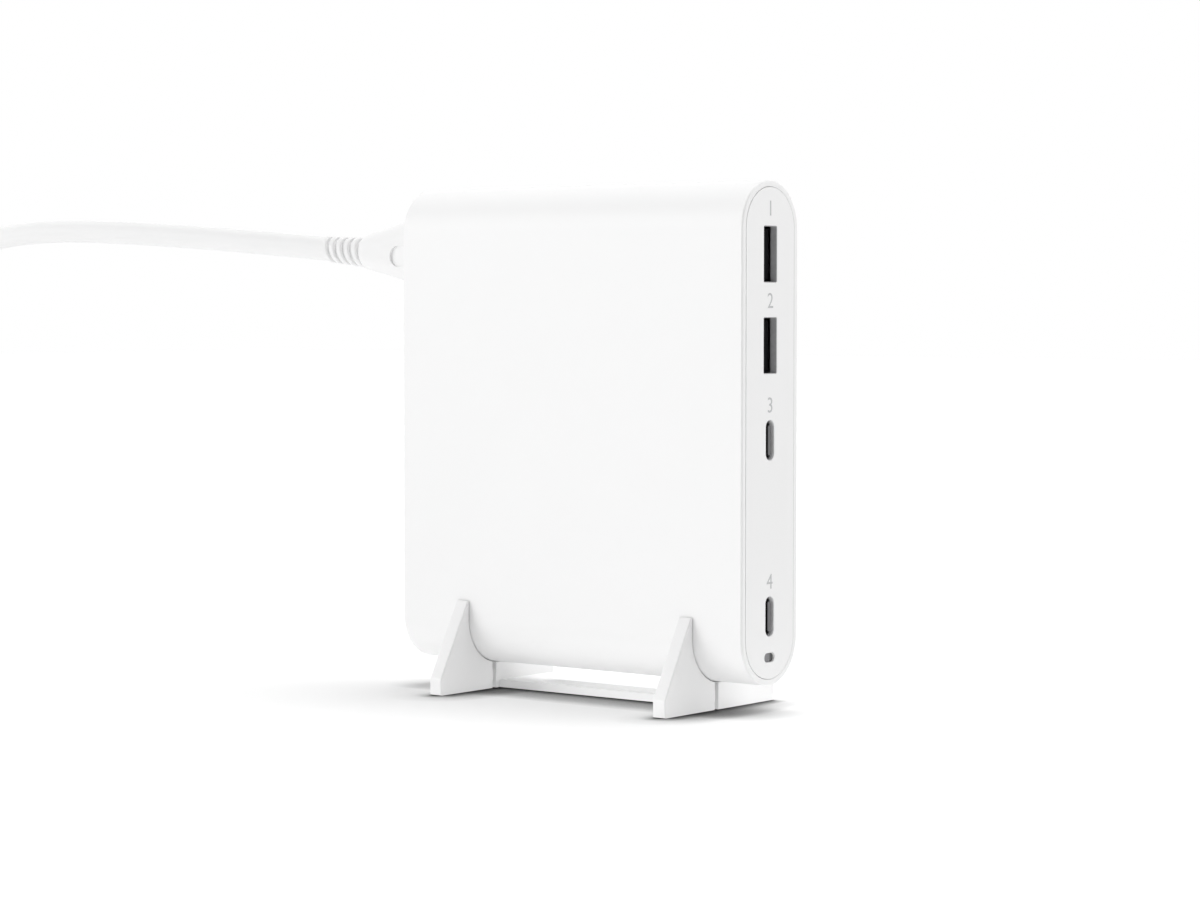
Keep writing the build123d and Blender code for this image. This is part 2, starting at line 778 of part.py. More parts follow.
def port_controller(z):
    """A chip on the rear of the port board."""
    plane = Plane(origin=(port_board_rear_x, chip_y, z), x_dir=(0, 1, 0), z_dir=(-1, 0, 0))
    chip = extrude(plane * Rectangle(chip_side, chip_side), chip_height)
    return chamfer(chip.faces().sort_by(Axis.X)[0].edges(), chip_height / 4)


def stand_fin(x):
    return foot(x, -1) - spigot(x, spigot_clearance)


def stand_base():
    """The rear halves of both feet, joined by a slotted plate on the floor."""
    base = foot(left_foot_x, 1) + foot(right_foot_x, 1)
    span = right_foot_x - left_foot_x
    middle_x = (left_foot_x + right_foot_x) / 2
    depth = fin_reach - cross_plate_front
    plate = Pos(middle_x, cross_plate_front + depth / 2) * Rectangle(span, depth)
    slot_y = cross_plate_front + cross_slot_front + cross_slot_width / 2
    slot_length = span - fin_thickness - 2 * cross_slot_inset
    plate -= Pos(middle_x, slot_y) * SlotOverall(slot_length, cross_slot_width)
    base += extrude(Plane.XY * plate, cross_plate_thickness)
    return base + spigot(left_foot_x, 0) + spigot(right_foot_x, 0)


def lining(y, thickness):
    """A thin sheet along one flat wall of the sleeve, from y towards +Y."""
    length = board_front_x - board_rear_x - lining_inset
    middle_x = (board_front_x + board_rear_x) / 2
    outline = RectangleRounded(length, 2 * (flat_half_height - lining_inset), lining_inset)
    plane = Plane(origin=(middle_x, y, mid_z), x_dir=(1, 0, 0), z_dir=(0, -1, 0))
    return extrude(plane * outline, -thickness)


os.makedirs("parts", exist_ok=True)

save("housing_sleeve", housing_sleeve())
save("port_face_plate", port_face_plate())
save("rear_face_plate", rear_face_plate())
save("stand_base", stand_base())
save("stand_fin_left", stand_fin(left_foot_x))
save("stand_fin_right", stand_fin(right_foot_x))

save("main_board", main_board())
save("port_board", port_board())
for n, level in enumerate(usb_a_levels, 1):
    shell, insulator, contacts = usb_a(level)
    save(f"usb_a_shell_{n}", shell)
    save(f"usb_a_insulator_{n}", insulator)
    save(f"usb_a_contacts_{n}", contacts)
for n, level in enumerate(usb_c_levels, 1):
    shell, insulator, contacts = usb_c(level)
    save(f"usb_c_shell_{n}", shell)
    save(f"usb_c_insulator_{n}", insulator)
    save(f"usb_c_contacts_{n}", contacts)
    save(f"port_controller_{n}", port_controller(level))
led, light_pipe = status_light()
save("status_led", led)
save("led_light_pipe", light_pipe)

inlet_body, inlet_pins = mains_inlet()
save("mains_inlet", inlet_body)
save("mains_inlet_pins", inlet_pins)
save("fuse", fuse())
thermistor_x = board_rear_x + thermistor_inset
save("thermistor", disc(thermistor_x, inlet_row, thermistor_diameter, thermistor_thickness))
save("bridge_rectifier", bridge_rectifier())
save(
    "filter_capacitor",
    block(
        board_rear_x + x_capacitor_inset,
        primary_row,
        x_capacitor_width,
        x_capacitor_length,
        x_capacitor_height,
        x_capacitor_corner,
    ),
)
choke_core, choke_windings = choke()
save("choke_core", choke_core)
save("choke_windings", choke_windings)
y_capacitor_x = board_rear_x + y_capacitor_inset
save("safety_capacitor", disc(y_capacitor_x, primary_row, y_capacitor_diameter, y_capacitor_thickness))
for n in range(bulk_capacitor_count):
    x = board_rear_x + bulk_capacitor_inset + n * bulk_capacitor_pitch
    y = board_face_y - seat_gap - bulk_capacitor_diameter / 2
    z = mid_z - board_half_height + bulk_capacitor_rise
    save(f"bulk_capacitor_{n + 1}", Pos(x, y, z) * can(bulk_capacitor_diameter, bulk_capacitor_length))
save("power_mosfet", power_mosfet())
save("heat_spreader", heat_spreader())
save("insulation_sheet", lining(inner_radius - seat_gap - sheet_thickness, sheet_thickness))
core, bobbin, winding = transformer()
save("transformer_core", core)
save("transformer_bobbin", bobbin)
save("transformer_winding", winding)
for n in range(output_capacitor_count):
    x = board_front_x - output_capacitor_inset + n % 2 * output_capacitor_pitch
    z = output_capacitor_rise + n // 2 * output_capacitor_pitch - board_half_height
    place = on_board(x, z)
    save(f"output_capacitor_{n + 1}", place * can(output_capacitor_diameter, output_capacitor_height))
inductor_rows = (
    inductor_rise - board_half_height,
    inductor_rise + inductor_pitch - board_half_height,
    board_half_height - inductor_drop - inductor_pitch,
    board_half_height - inductor_drop,
)
for n, z in enumerate(inductor_rows, 1):
    x = board_front_x - inductor_inset
    save(f"port_inductor_{n}", block(x, z, inductor_side, inductor_side, inductor_height, inductor_corner))
save(
    "primary_controller",
    block(
        board_front_x - controller_inset,
        board_half_height - controller_drop,
        controller_length,
        controller_width,
        controller_height,
        controller_corner,
    ),
)

save("cord_connector", cord_connector())
save("power_cord_run", cord_tube(lead_route()))
save("power_cord_hank", hank())
save("cord_ties", cord_ties())
save("power_cord_tail", cord_tube(tail_points))
plug_body, plug_blades = wall_plug()
save("wall_plug_body", plug_body)
save("wall_plug_blades", plug_blades)
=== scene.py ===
"""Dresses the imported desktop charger: its housing, ports, stand and lead, in a white studio."""

import json
import math

import bmesh
import bpy
from bpy.props import FloatProperty, FloatVectorProperty, IntProperty, PointerProperty
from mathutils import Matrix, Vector


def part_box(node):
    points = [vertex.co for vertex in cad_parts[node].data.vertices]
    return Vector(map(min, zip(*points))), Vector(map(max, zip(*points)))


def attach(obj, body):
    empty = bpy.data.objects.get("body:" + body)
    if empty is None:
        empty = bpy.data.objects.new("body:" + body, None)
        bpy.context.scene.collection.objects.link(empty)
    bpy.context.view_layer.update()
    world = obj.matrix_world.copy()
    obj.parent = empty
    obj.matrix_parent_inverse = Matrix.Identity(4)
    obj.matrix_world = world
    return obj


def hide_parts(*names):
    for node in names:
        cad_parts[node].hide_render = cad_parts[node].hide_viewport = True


bl_info = {
    "name": "Desktop charger dressing",
    "version": (1, 0, 0),
    "blender": (4, 5, 0),
    "location": "3D View > Sidebar > Charger",
    "description": "Models the charger's housing, stand and lead round the packed solids, and lights them",
    "category": "Object",
}

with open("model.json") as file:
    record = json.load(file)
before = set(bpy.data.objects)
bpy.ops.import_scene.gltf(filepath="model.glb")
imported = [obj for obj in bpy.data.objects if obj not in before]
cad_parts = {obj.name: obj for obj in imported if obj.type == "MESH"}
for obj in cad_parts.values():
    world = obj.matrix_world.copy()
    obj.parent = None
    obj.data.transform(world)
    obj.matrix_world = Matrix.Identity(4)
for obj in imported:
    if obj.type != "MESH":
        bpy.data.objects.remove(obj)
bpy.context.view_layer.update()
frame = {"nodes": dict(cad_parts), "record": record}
nodes = frame["nodes"]
MM = 0.001
TINY = 0.001 * MM
# Share of a unit vector along X from which a face or an edge counts as lying that way.
ALIGNED = 0.9
# How far a cutting tool goes past the piece that it cuts, and past an end plate.
PAST = 2 * MM
PAST_PLATE = 3 * MM
# How deep a peg is sunk in the half foot that it grows from.
PEG_ROOT = 1.0 * MM
SLEEVE_LOW, SLEEVE_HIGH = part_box("housing_sleeve")
CENTRE = (0.0, (SLEEVE_HIGH.z + SLEEVE_LOW.z) / 2)
PLATE_LOW, PLATE_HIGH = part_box("port_face_plate")
STAND_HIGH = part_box("stand_base")[1]
# Heights of the printed numbers, from port 1 down.
NUMBER_LEVELS = (111.5 * MM, 91.2 * MM, 68.2 * MM, 29.2 * MM)
# The connector in millimetres: where its shoulder is along X, and the distance behind that,
# the height and the width of each section.
SHOULDER = -49.65
CONNECTOR_SECTIONS = (
    (0.0, 15.2, 9.2),
    (0.15, 15.8, 9.8),
    (0.45, 16.2, 10.2),
    (0.9, 16.35, 10.38),
    (3.0, 16.0, 10.4),
    (6.0, 14.9, 10.3),
    (9.3, 13.4, 10.0),
    (12.5, 11.8, 9.5),
    (15.0, 10.6, 9.1),
    (17.0, 9.8, 8.8),
    (19.0, 8.75, 8.35),
    (19.8, 8.25, 8.05),
    (20.05, 7.8, 7.7),
)
# The plug in millimetres: the length of its block, and the distance behind that, the width and
# the height of each section, from the block's end to the neck.
PLUG_BLOCK = 16
PLUG_SECTIONS = (
    (0.0, 24.0, 14.0),
    (1.0, 23.6, 13.7),
    (3.0, 21.6, 12.6),
    (5.5, 17.6, 11.2),
    (8.0, 12.8, 9.8),
    (10.0, 9.6, 8.8),
    (11.0, 8.4, 8.4),
)


def length(name, description, millimetres):
    """A size that a user can change, kept in metres."""
    return FloatProperty(
        name=name, description=description, default=millimetres * MM, unit="LENGTH", precision=5
    )


def colour(name, description, red, green, blue):
    return FloatVectorProperty(
        name=name, description=description, default=(red, green, blue), size=3, subtype="COLOR"
    )


def plain(name, description, default):
    return FloatProperty(name=name, description=description, default=default)


def angle(name, description, degrees):
    return FloatProperty(
        name=name, description=description, default=math.radians(degrees), unit="ROTATION"
    )


class HousingSettings(bpy.types.PropertyGroup):
    """Sizes of the sleeve and its end plates."""

    wall: length("Wall", "Thickness of the sleeve", 1.4)
    seam_width: length("Seam width", "Width of the fine line behind the rim at the port end", 0.07)
    seam_depth: length("Seam depth", "Depth of that line", 0.12)
    rim_round: length("Rim round", "Radius along the ends of the sleeve", 0.3)
    rail_width: length("Rail width", "Thickness of the rails that hold the main board", 1.0)
    rail_grip: length("Rail grip", "How far a rail reaches over the main board", 1.5)
    rail_clearance: length("Rail clearance", "Room between a rail and the main board", 0.1)
    board_gap: length("Board gap", "Room between a rail's end and the next piece", 0.3)
    plate: length("Plate", "Thickness of an end plate", 1.6)
    skirt: length("Skirt", "Wall of the skirt behind an end plate", 1.2)
    plate_gap: length("Plate gap", "Room between an end plate and the sleeve", 0.06)
    hole_edge: length("Hole edge", "Radius along the edge of each port opening", 0.1)
    inlet_width: length("Inlet width", "Short side of the opening for the connector", 8.6)
    inlet_height: length("Inlet height", "Long side of that opening", 16.6)
    segments: IntProperty(name="Segments", description="Points round a stadium outline", default=160)
    white: colour("White", "Colour of the housing", 0.92, 0.92, 0.92)


class PortSettings(bpy.types.PropertyGroup):
    """Openings in the port plate, and the numbers beside them."""

    usb_a_width: length("USB-A width", "Long side of a USB-A opening", 12.5)
    usb_a_opening: length("USB-A opening", "Short side of a USB-A opening", 5.12)
    usb_a_corner: length("USB-A corner", "Corner radius of a USB-A opening", 0.35)
    usb_c_width: length("USB-C width", "Long side of a USB-C opening", 9.1)
    usb_c_opening: length("USB-C opening", "Short side of a USB-C opening", 3.32)
    lip_setback: length("Lip setback", "Distance of a shell's mouth behind the face", 0.06)
    lip_fit: length("Lip fit", "Room between a shell's mouth and the plate", 0.02)
    usb_a_sheet: length("USB-A sheet", "Thickness of the mouth of a USB-A shell", 0.13)
    usb_c_sheet: length("USB-C sheet", "Thickness of the mouth of a USB-C shell", 0.1)
    tongue_width: length("Tongue width", "Long side of the tongue of a USB-C port", 6.69)
    tongue_thickness: length("Tongue thickness", "Short side of that tongue", 1.0)
    tongue_setback: length("Tongue setback", "Distance of the tongue's end behind the face", 0.15)
    tongue_nose: length("Tongue nose", "Radius along the tongue's end", 0.12)
    window_width: length("Window width", "Width of the light's window", 4.0)
    window_height: length("Window height", "Height of the light's window", 2.1)
    number_size: length("Number size", "Height of the printed numbers", 4.8)
    print_depth: length("Print depth", "How far the print stands out", 0.015)
    print_grey: colour("Print", "Colour of the printed numbers", 0.55, 0.55, 0.56)


class StandSettings(bpy.types.PropertyGroup):
    """Sizes of the feet and the plate that joins them."""

    seam: length("Seam", "Gap between the front and the rear half of a foot", 1.4)
    seam_offset: length("Seam place", "Distance of the seam in front of the housing's middle", 1.5)
    toe: length("Toe", "Height of the outer end of a foot", 3.8)
    seat: length("Seat", "Half the width of the saddle for the housing", 10.8)
    tip_flat: length("Tip", "Width of the flat at the top of a foot", 0.35)
    edge: length("Edge", "Radius along the edges of a foot", 0.35)
    plate: length("Plate", "Thickness of the plate between the feet", 1.8)
    plate_front: length("Plate front", "Distance of the plate's front edge behind the middle", 0.5)
    peg_width: length("Peg width", "Width of the peg that joins the halves of a foot", 1.7)
    peg_height: length("Peg height", "Height of that peg", 2.8)
    peg_lift: length("Peg lift", "Height of the peg above the floor", 1.6)
    peg_length: length("Peg length", "How far the peg goes into the front half", 6.0)
    peg_clearance: length("Peg clearance", "Room round the peg", 0.1)
    slot_length: length("Slot length", "Length of the slot in the plate", 42.3)
    slot_width: length("Slot width", "Width of the slot in the plate", 7.0)
    slot_y: length("Slot place", "Distance of the slot's middle from the housing's middle", 5.6)
    white: colour("White", "Colour of the stand", 0.92, 0.92, 0.92)


class LeadSettings(bpy.types.PropertyGroup):
    """Sizes of the mains lead."""

    diameter: length("Diameter", "Diameter of the lead", 5.8)
    real_length: length("Length", "Length of the lead from the connector to the plug", 1480.0)
    rise: angle("Rise", "Slope of the lead at the connector", 4.7)
    rib_tilt: angle("Rib tilt", "Slant of the ribs across the lead at the connector", 20.0)
    hank_laps: IntProperty(name="Laps", description="Laps of the put-away hank", default=4)
    hank_radius: length("Fold", "Radius of the folds of the hank", 18.5)
    hank_near: length("Hank start", "Where the hank's runs start, along X", -333.0)
    hank_far: length("Hank end", "Where the hank's runs end, along X", -420.0)
    white: colour("White", "Colour of the sheath", 0.88, 0.88, 0.88)


class StudioSettings(bpy.types.PropertyGroup):
    """Camera and light."""

    yaw: angle("Yaw", "Camera's turn from the front", 37.98)
    pitch: angle("Pitch", "Camera's height above level", 2.67)
    target: FloatVectorProperty(
        name="Target",
        description="The point in the middle of the camera's view",
        default=(1.678 * MM, 0.0, 57.108 * MM),
        subtype="TRANSLATION",
        unit="LENGTH",
    )
    distance: length("Distance", "Camera to its target", 710.73)
    lens: plain("Lens", "Focal length in millimetres", 92.69)
    front: plain("Front light", "Level of the low lamp in front", 0.43)
    side: plain("Side light", "Level of the lamp behind the ports", 0.18)
    top: plain("Top light", "Level of the lamp above and behind", 0.54)
    sky: plain("Sky", "Level of the light from all round", 0.4)
    floor_lift: plain("Floor lift", "Light added to the floor that the camera sees", 0.05)
    floor_glow: plain("Floor glow", "Light that the lit table sends up at the charger", 0.24)
    glow_inner: length("Inner glow", "Radius round the middle in which the table glows in full", 45.0)
    glow_outer: length("Outer glow", "Radius at which the table's glow has faded out", 85.0)
    # Painted shadow: near the charger, ambient occlusion darkens the floor's colour, set by these reaches,
    # this share and this depth.
    contact_reach: length("Contact reach", "How far from the charger the floor's contact line goes", 4.5)
    shade_reach: length("Shade reach", "How far from the charger the floor's wider shade goes", 12.0)
    shade_share: plain("Shade share", "Strength of the wider shade", 0.82)
    shade_depth: plain("Shade depth", "Share of open sky at which the floor is black", 0.36)


class Socket:
    """An output of a finish's node. Arithmetic on it adds Math nodes."""

    def __init__(self, finish, link):
        self.finish = finish
        self.link = link

    def reckon(self, operation, first, second):
        return self.finish.node("ShaderNodeMath", {"operation": operation}, {0: first, 1: second})

    def __add__(self, other):
        return self.reckon("ADD", self, other)

    def __radd__(self, other):
        return self.reckon("ADD", other, self)

    def __sub__(self, other):
        return self.reckon("SUBTRACT", self, other)

    def __rsub__(self, other):
        return self.reckon("SUBTRACT", other, self)

    def __mul__(self, other):
        return self.reckon("MULTIPLY", self, other)

    def most(self, other):
        return self.reckon("MAXIMUM", self, other)

    def __gt__(self, other):
        return self.reckon("GREATER_THAN", self, other)


def opaque(tone):
    """A colour as a node takes it, from its three parts or from another node."""
    return tone if isinstance(tone, Socket) else (*tone, 1)


class Nodes:
    """A node tree that new nodes are added to."""

    def __init__(self, tree):
        self.tree = tree

    def node(self, kind, settings=None, sockets=None, output=0):
        made = self.tree.nodes.new(kind)
        for key, value in (settings or {}).items():
            setattr(made, key, value)
        for key, value in (sockets or {}).items():
            self.feed(made.inputs[key], value)
        return Socket(self, made.outputs[output])

    def feed(self, socket, value):
        if isinstance(value, Socket):
            self.tree.links.new(value.link, socket)
        else:
            socket.default_value = value

    def blend(self, share, first, second):
        """A colour between two colours."""
        return self.node(
            "ShaderNodeMix",
            {"data_type": "RGBA"},
            {0: share, 6: opaque(first), 7: opaque(second)},
            output=2,
        )


class Finish(Nodes):
    """A material with one principled shader, built from nodes on object coordinates."""

    def __init__(self, name):
        self.material = bpy.data.materials.new(name)
        self.material.use_nodes = True
        super().__init__(self.material.node_tree)
        self.shader = self.tree.nodes["Principled BSDF"]
        self.place = self.node("ShaderNodeTexCoord", output="Object")

    def set(self, **values):
        for key, value in values.items():
            self.feed(self.shader.inputs[key.replace("_", " ").title().replace("Ior", "IOR")], value)

    def noise(self, scale, detail=2.0, stretch=(1, 1, 1)):
        place = self.place
        if stretch != (1, 1, 1):
            place = self.node("ShaderNodeMapping", None, {"Vector": place, "Scale": stretch})
        return self.node("ShaderNodeTexNoise", None, {"Vector": place, "Scale": scale, "Detail": detail})

    def bump(self, height, depth, strength):
        sockets = {"Height": height, "Distance": depth, "Strength": strength}
        self.set(normal=self.node("ShaderNodeBump", None, sockets))

    def tone(self, share, rgb, low, high):
        """A colour between a darker and a lighter form of one colour."""
        return self.blend(share, shade(rgb, low), shade(rgb, high))

    def part(self, axis):
        """One coordinate of the place."""
        return self.node("ShaderNodeSeparateXYZ", None, {"Vector": self.place}, output=axis)

    def ramp(self, value, start, end):
        """0 up to the start, 1 from the end on, and a smooth rise between them."""
        sockets = {"Value": value, "From Min": start, "From Max": end}
        return self.node("ShaderNodeMapRange", {"interpolation_type": "SMOOTHSTEP"}, sockets)


def seen_directly(tree):
    """1 where the camera sees a surface, by itself, in a reflection or through glass, and else 0."""
    rays = tree.node("ShaderNodeLightPath").link.node
    kinds = ("Is Camera Ray", "Is Glossy Ray", "Is Transmission Ray")
    camera, glossy, through = (Socket(tree, rays.outputs[kind]) for kind in kinds)
    return camera.most(glossy).most(through)


def direction(azimuth, elevation):
    """Where an azimuth from the front and an elevation point, from the object."""
    level = math.cos(elevation)
    return Vector((math.sin(azimuth) * level, -math.cos(azimuth) * level, math.sin(elevation)))


def shade(rgb, factor):
    return tuple(min(1.0, channel * factor) for channel in rgb)


def moulded_plastic(name, rgb, roughness=0.42, grain=5200.0, gloss=0.5):
    """Satin moulded plastic: a fine eroded grain, and a faint drift of tone and gloss."""
    finish = Finish(name)
    drift = finish.noise(38.0, 3.0)
    speck = finish.noise(grain)
    finish.set(
        base_color=finish.tone(drift, rgb, 0.988, 1.006),
        roughness=roughness - 0.05 + drift * 0.06 + speck * 0.05,
        specular_ior_level=gloss,
    )
    finish.bump(speck, 0.000012, 0.6)
    return finish.material


def soft_sheath(name, rgb):
    """Extruded soft PVC: slightly waxy, with a fine matt skin."""
    finish = Finish(name)
    drift = finish.noise(60.0, 3.0)
    skin = finish.noise(3600.0, 3.0)
    finish.set(
        base_color=finish.tone(drift, rgb, 0.97, 1.01),
        roughness=0.44 + drift * 0.08 + skin * 0.04,
    )
    finish.bump(skin, 0.00002, 0.5)
    return finish.material


def metal(name, rgb, roughness, stretch):
    """Plated or bare metal with streaks along the way that it was drawn."""
    finish = Finish(name)
    streak = finish.noise(900.0, 4.0, stretch)
    drift = finish.noise(240.0)
    finish.set(
        base_color=finish.tone(drift, rgb, 0.88, 1.04),
        roughness=roughness + streak * 0.12 - 0.04,
        metallic=1.0,
    )
    finish.bump(streak, 0.00001, 0.4)
    return finish.material


def dipped(name, rgb, roughness, scale, depth=0.00003, coat=0.0):
    """A coated, cast or sintered part: mottled colour and an uneven skin."""
    finish = Finish(name)
    mottle = finish.noise(scale, 4.0)
    grain = finish.noise(scale * 8)
    finish.set(
        base_color=finish.tone(mottle, rgb, 0.82, 1.15),
        roughness=roughness + grain * 0.1 - 0.05,
        coat_weight=coat,
    )
    finish.bump(grain, depth, 0.6)
    return finish.material


def board_mask(name, rgb):
    """Green solder mask over copper tracks, which show as a paler, raised pattern."""
    finish = Finish(name)
    cells = finish.node(
        "ShaderNodeTexVoronoi",
        {"feature": "DISTANCE_TO_EDGE", "distance": "MANHATTAN"},
        {"Vector": finish.place, "Scale": 260.0},
        output="Distance",
    )
    track = cells > 0.1
    weave = finish.noise(1800.0)
    finish.set(base_color=finish.tone(track, rgb, 0.75, 1.35), roughness=0.3 + weave * 0.1)
    finish.bump(track * 0.7 + weave * 0.1, 0.00004, 0.5)
    return finish.material


def woven(name, rgb):
    """A woven hook-and-loop strap: crossed threads with a little fuzz."""
    finish = Finish(name)
    across, upward = (
        finish.node(
            "ShaderNodeTexWave",
            {"wave_type": "BANDS", "bands_direction": axis, "wave_profile": "SIN"},
            {"Vector": finish.place, "Scale": 420.0, "Distortion": 0.6},
            output="Fac",
        )
        for axis in "XZ"
    )
    fuzz = finish.noise(2600.0, 4.0)
    thread = across * upward + fuzz * 0.4
    finish.set(base_color=finish.tone(thread, rgb, 0.7, 1.1), roughness=0.8 + fuzz * 0.15)
    finish.bump(thread, 0.00015, 0.8)
    return finish.material


def printed(name, rgb):
    finish = Finish(name)
    ink = finish.noise(4000.0)
    finish.set(base_color=finish.tone(ink, rgb, 0.94, 1.05), roughness=0.5 + ink * 0.1)
    return finish.material


def tipped_tongue(name, body, tip, start):
    """A black moulded tongue with painted light on its end, which is paler and begins at start along X."""
    finish = Finish(name)
    speck = finish.noise(4200.0)
    # Painted light: the end is paler than the black sides, which stand in shade.
    painted_light_share = finish.ramp(finish.part("X"), start, start + 0.04 * MM)
    finish.set(
        base_color=finish.blend(painted_light_share, body, tip),
        roughness=0.5 + speck * 0.1,
        specular_ior_level=0.1,
    )
    finish.bump(speck, 0.00001, 0.5)
    return finish.material


def smoked_lens(name, rgb):
    """The light pipe: frosted, a little see-through, with flow lines and painted shade along its inner edge
    to the rear.
    """
    finish = Finish(name)
    cloud = finish.noise(700.0, 3.0, (1, 1, 0.25))
    # Painted shade: the lens's colour darkens towards its rear edge.
    painted_shade_edge = finish.ramp(finish.part("Y"), 0.35 * MM, 0.75 * MM)
    lens = finish.tone(cloud, rgb, 0.8, 1.15)
    finish.set(
        base_color=finish.blend(painted_shade_edge, lens, shade(rgb, 0.3)),
        roughness=0.2 + cloud * 0.15,
        transmission_weight=0.25,
        coat_weight=0.2,
    )
    finish.bump(cloud, 0.00002, 0.4)
    return finish.material


def deselect():
    """Leaves edit mode, and selects nothing."""
    if bpy.context.object and bpy.context.object.mode != "OBJECT":
        bpy.ops.object.mode_set(mode="OBJECT")
    bpy.ops.object.select_all(action="DESELECT")


def take(piece):
    """Makes a piece the only one that operators act on."""
    deselect()
    piece.select_set(True)
    bpy.context.view_layer.objects.active = piece
    return piece


def added(name):
    """Names the primitive just added and moves its place into its mesh."""
    piece = bpy.context.object
    piece.name = name
    piece.data.name = name
    bpy.ops.object.transform_apply(location=True, rotation=True, scale=True)
    return piece


def edit(piece):
    take(piece)
    bpy.ops.object.mode_set(mode="EDIT")


def pick(piece, kind, test):
    """Selects, in edit mode, only the points, edges or faces that pass a test."""
    bpy.ops.mesh.select_mode(type=kind)
    bpy.ops.mesh.select_all(action="DESELECT")
    mesh = bmesh.from_edit_mesh(piece.data)
    found = {"VERT": mesh.verts, "EDGE": mesh.edges, "FACE": mesh.faces}[kind]
    for element in found:
        element.select_set(test(element))
    mesh.select_flush_mode()
    bmesh.update_edit_mesh(piece.data)


def middle(edge):
    return (edge.verts[0].co + edge.verts[1].co) / 2


def sharp(edge, degrees):
    """Whether two faces meet at an edge at more than that angle."""
    return len(edge.link_faces) == 2 and edge.calc_face_angle(0) > math.radians(degrees)


def lengthwise(edge):
    """Whether an edge runs along X."""
    return abs((edge.verts[1].co - edge.verts[0].co).normalized().x) > ALIGNED


def end_face(face):
    """Whether a face looks along X."""
    return abs(face.normal.x) > ALIGNED


def middle_z(name):
    """The height of the middle of a solid."""
    low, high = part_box(name)
    return (low.z + high.z) / 2


def modify(piece, kind, **settings):
    """Adds a modifier and applies it."""
    take(piece)
    made = piece.modifiers.new(kind, kind)
    for key, value in settings.items():
        setattr(made, key, value)
    bpy.ops.object.modifier_apply(modifier=made.name)


def cut(piece, tool, operation="DIFFERENCE"):
    modify(piece, "BOOLEAN", operation=operation, object=tool, solver="EXACT")
    bpy.data.objects.remove(tool)


def smooth(piece, degrees=34.0):
    """Smooth shading with crisp corners, led by the large faces."""
    take(piece)
    bpy.ops.object.shade_smooth_by_angle(angle=math.radians(degrees))
    modify(piece, "WEIGHTED_NORMAL", keep_sharp=True, weight=80)


def round_edges(piece, radius, segments, degrees=40.0):
    modify(
        piece,
        "BEVEL",
        width=radius,
        segments=segments,
        limit_method="ANGLE",
        angle_limit=math.radians(degrees),
        use_clamp_overlap=True,
    )


def join(first, *others):
    take(first)
    for other in others:
        other.select_set(True)
    bpy.ops.object.join()
    return first


def place_piece(piece, slot, material, *replaced):
    """Gives a finished piece its body and its look, and hides the solids that it stands for. The slot is
    not used.
    """
    piece.data.materials.clear()
    piece.data.materials.append(material)
    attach(piece, "root")
    if replaced:
        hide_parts(*replaced)
    return piece


def box(name, low, high):
    deselect()
    low, high = Vector(low), Vector(high)
    bpy.ops.mesh.primitive_cube_add(size=1, location=(low + high) / 2, scale=high - low)
    return added(name)


def hollow(piece, wall, corner=0.0):
    """Opens a solid at both ends, rounds its corners where asked to, and leaves a wall."""
    edit(piece)
    pick(piece, "FACE", end_face)
    bpy.ops.mesh.delete(type="FACE")
    if corner:
        pick(piece, "EDGE", lengthwise)
        bpy.ops.mesh.bevel(offset=corner, segments=6)
    modify(piece, "SOLIDIFY", thickness=wall, offset=-1, use_even_offset=True)


def disc(name, place, radius, points, axis="X"):
    """A filled circle across an axis, in edit mode, turned so that no point is on its middle lines."""
    deselect()
    bpy.ops.mesh.primitive_circle_add(
        vertices=points,
        radius=radius,
        fill_type="NGON",
        location=place,
        rotation=(0, math.pi / 2, 0) if axis == "X" else (0, 0, 0),
    )
    shape = added(name)
    edit(shape)
    bpy.ops.mesh.select_mode(type="FACE")
    bpy.ops.mesh.select_all(action="SELECT")
    bpy.ops.transform.rotate(value=math.pi / points, orient_axis=axis, center_override=place)
    return shape


def face_outwards():
    bpy.ops.mesh.select_all(action="SELECT")
    bpy.ops.mesh.normals_make_consistent(inside=False)


def draw_out(shape, place, stretch, way):
    """Moves the halves of a disc apart to make a stadium, and draws that out to a solid."""
    place, stretch = Vector(place), Vector(stretch)
    for side in (-1, 1):
        pick(shape, "VERT", lambda v: side * (v.co - place).dot(stretch) > 0)
        bpy.ops.transform.translate(value=side * stretch)
    bpy.ops.mesh.select_mode(type="FACE")
    bpy.ops.mesh.select_all(action="SELECT")
    bpy.ops.mesh.extrude_region_move(TRANSFORM_OT_translate={"value": way})
    face_outwards()
    return shape


def stadium_prism(name, start, end, centre, width, height, segments):
    """A stadium of that width and height, drawn out along X. A low one lies on its side."""
    place = (start, *centre)
    apart = abs(height - width) / 2
    shape = disc(name, place, min(width, height) / 2, segments)
    stretch = (0, 0, apart) if height > width else (0, apart, 0)
    return draw_out(shape, place, stretch, (end - start, 0, 0))


def sleeve_prism(name, start, end, growth, segments):
    """A stadium like the sleeve's outline, wider and higher by a growth."""
    width = SLEEVE_HIGH.y - SLEEVE_LOW.y + growth
    height = SLEEVE_HIGH.z - SLEEVE_LOW.z + growth
    return stadium_prism(name, start, end, CENTRE, width, height, segments)


def spread(shape, x, z, amount):
    """Moves the upper and the lower half of the outline at x apart, and picks its face."""
    for side in (-1, 1):
        pick(shape, "VERT", lambda v: abs(v.co.x - x) < TINY and side * (v.co.z - z) > 0)
        bpy.ops.transform.translate(value=(0, 0, side * amount))
    pick(shape, "FACE", lambda face: all(abs(v.co.x - x) < TINY for v in face.verts))


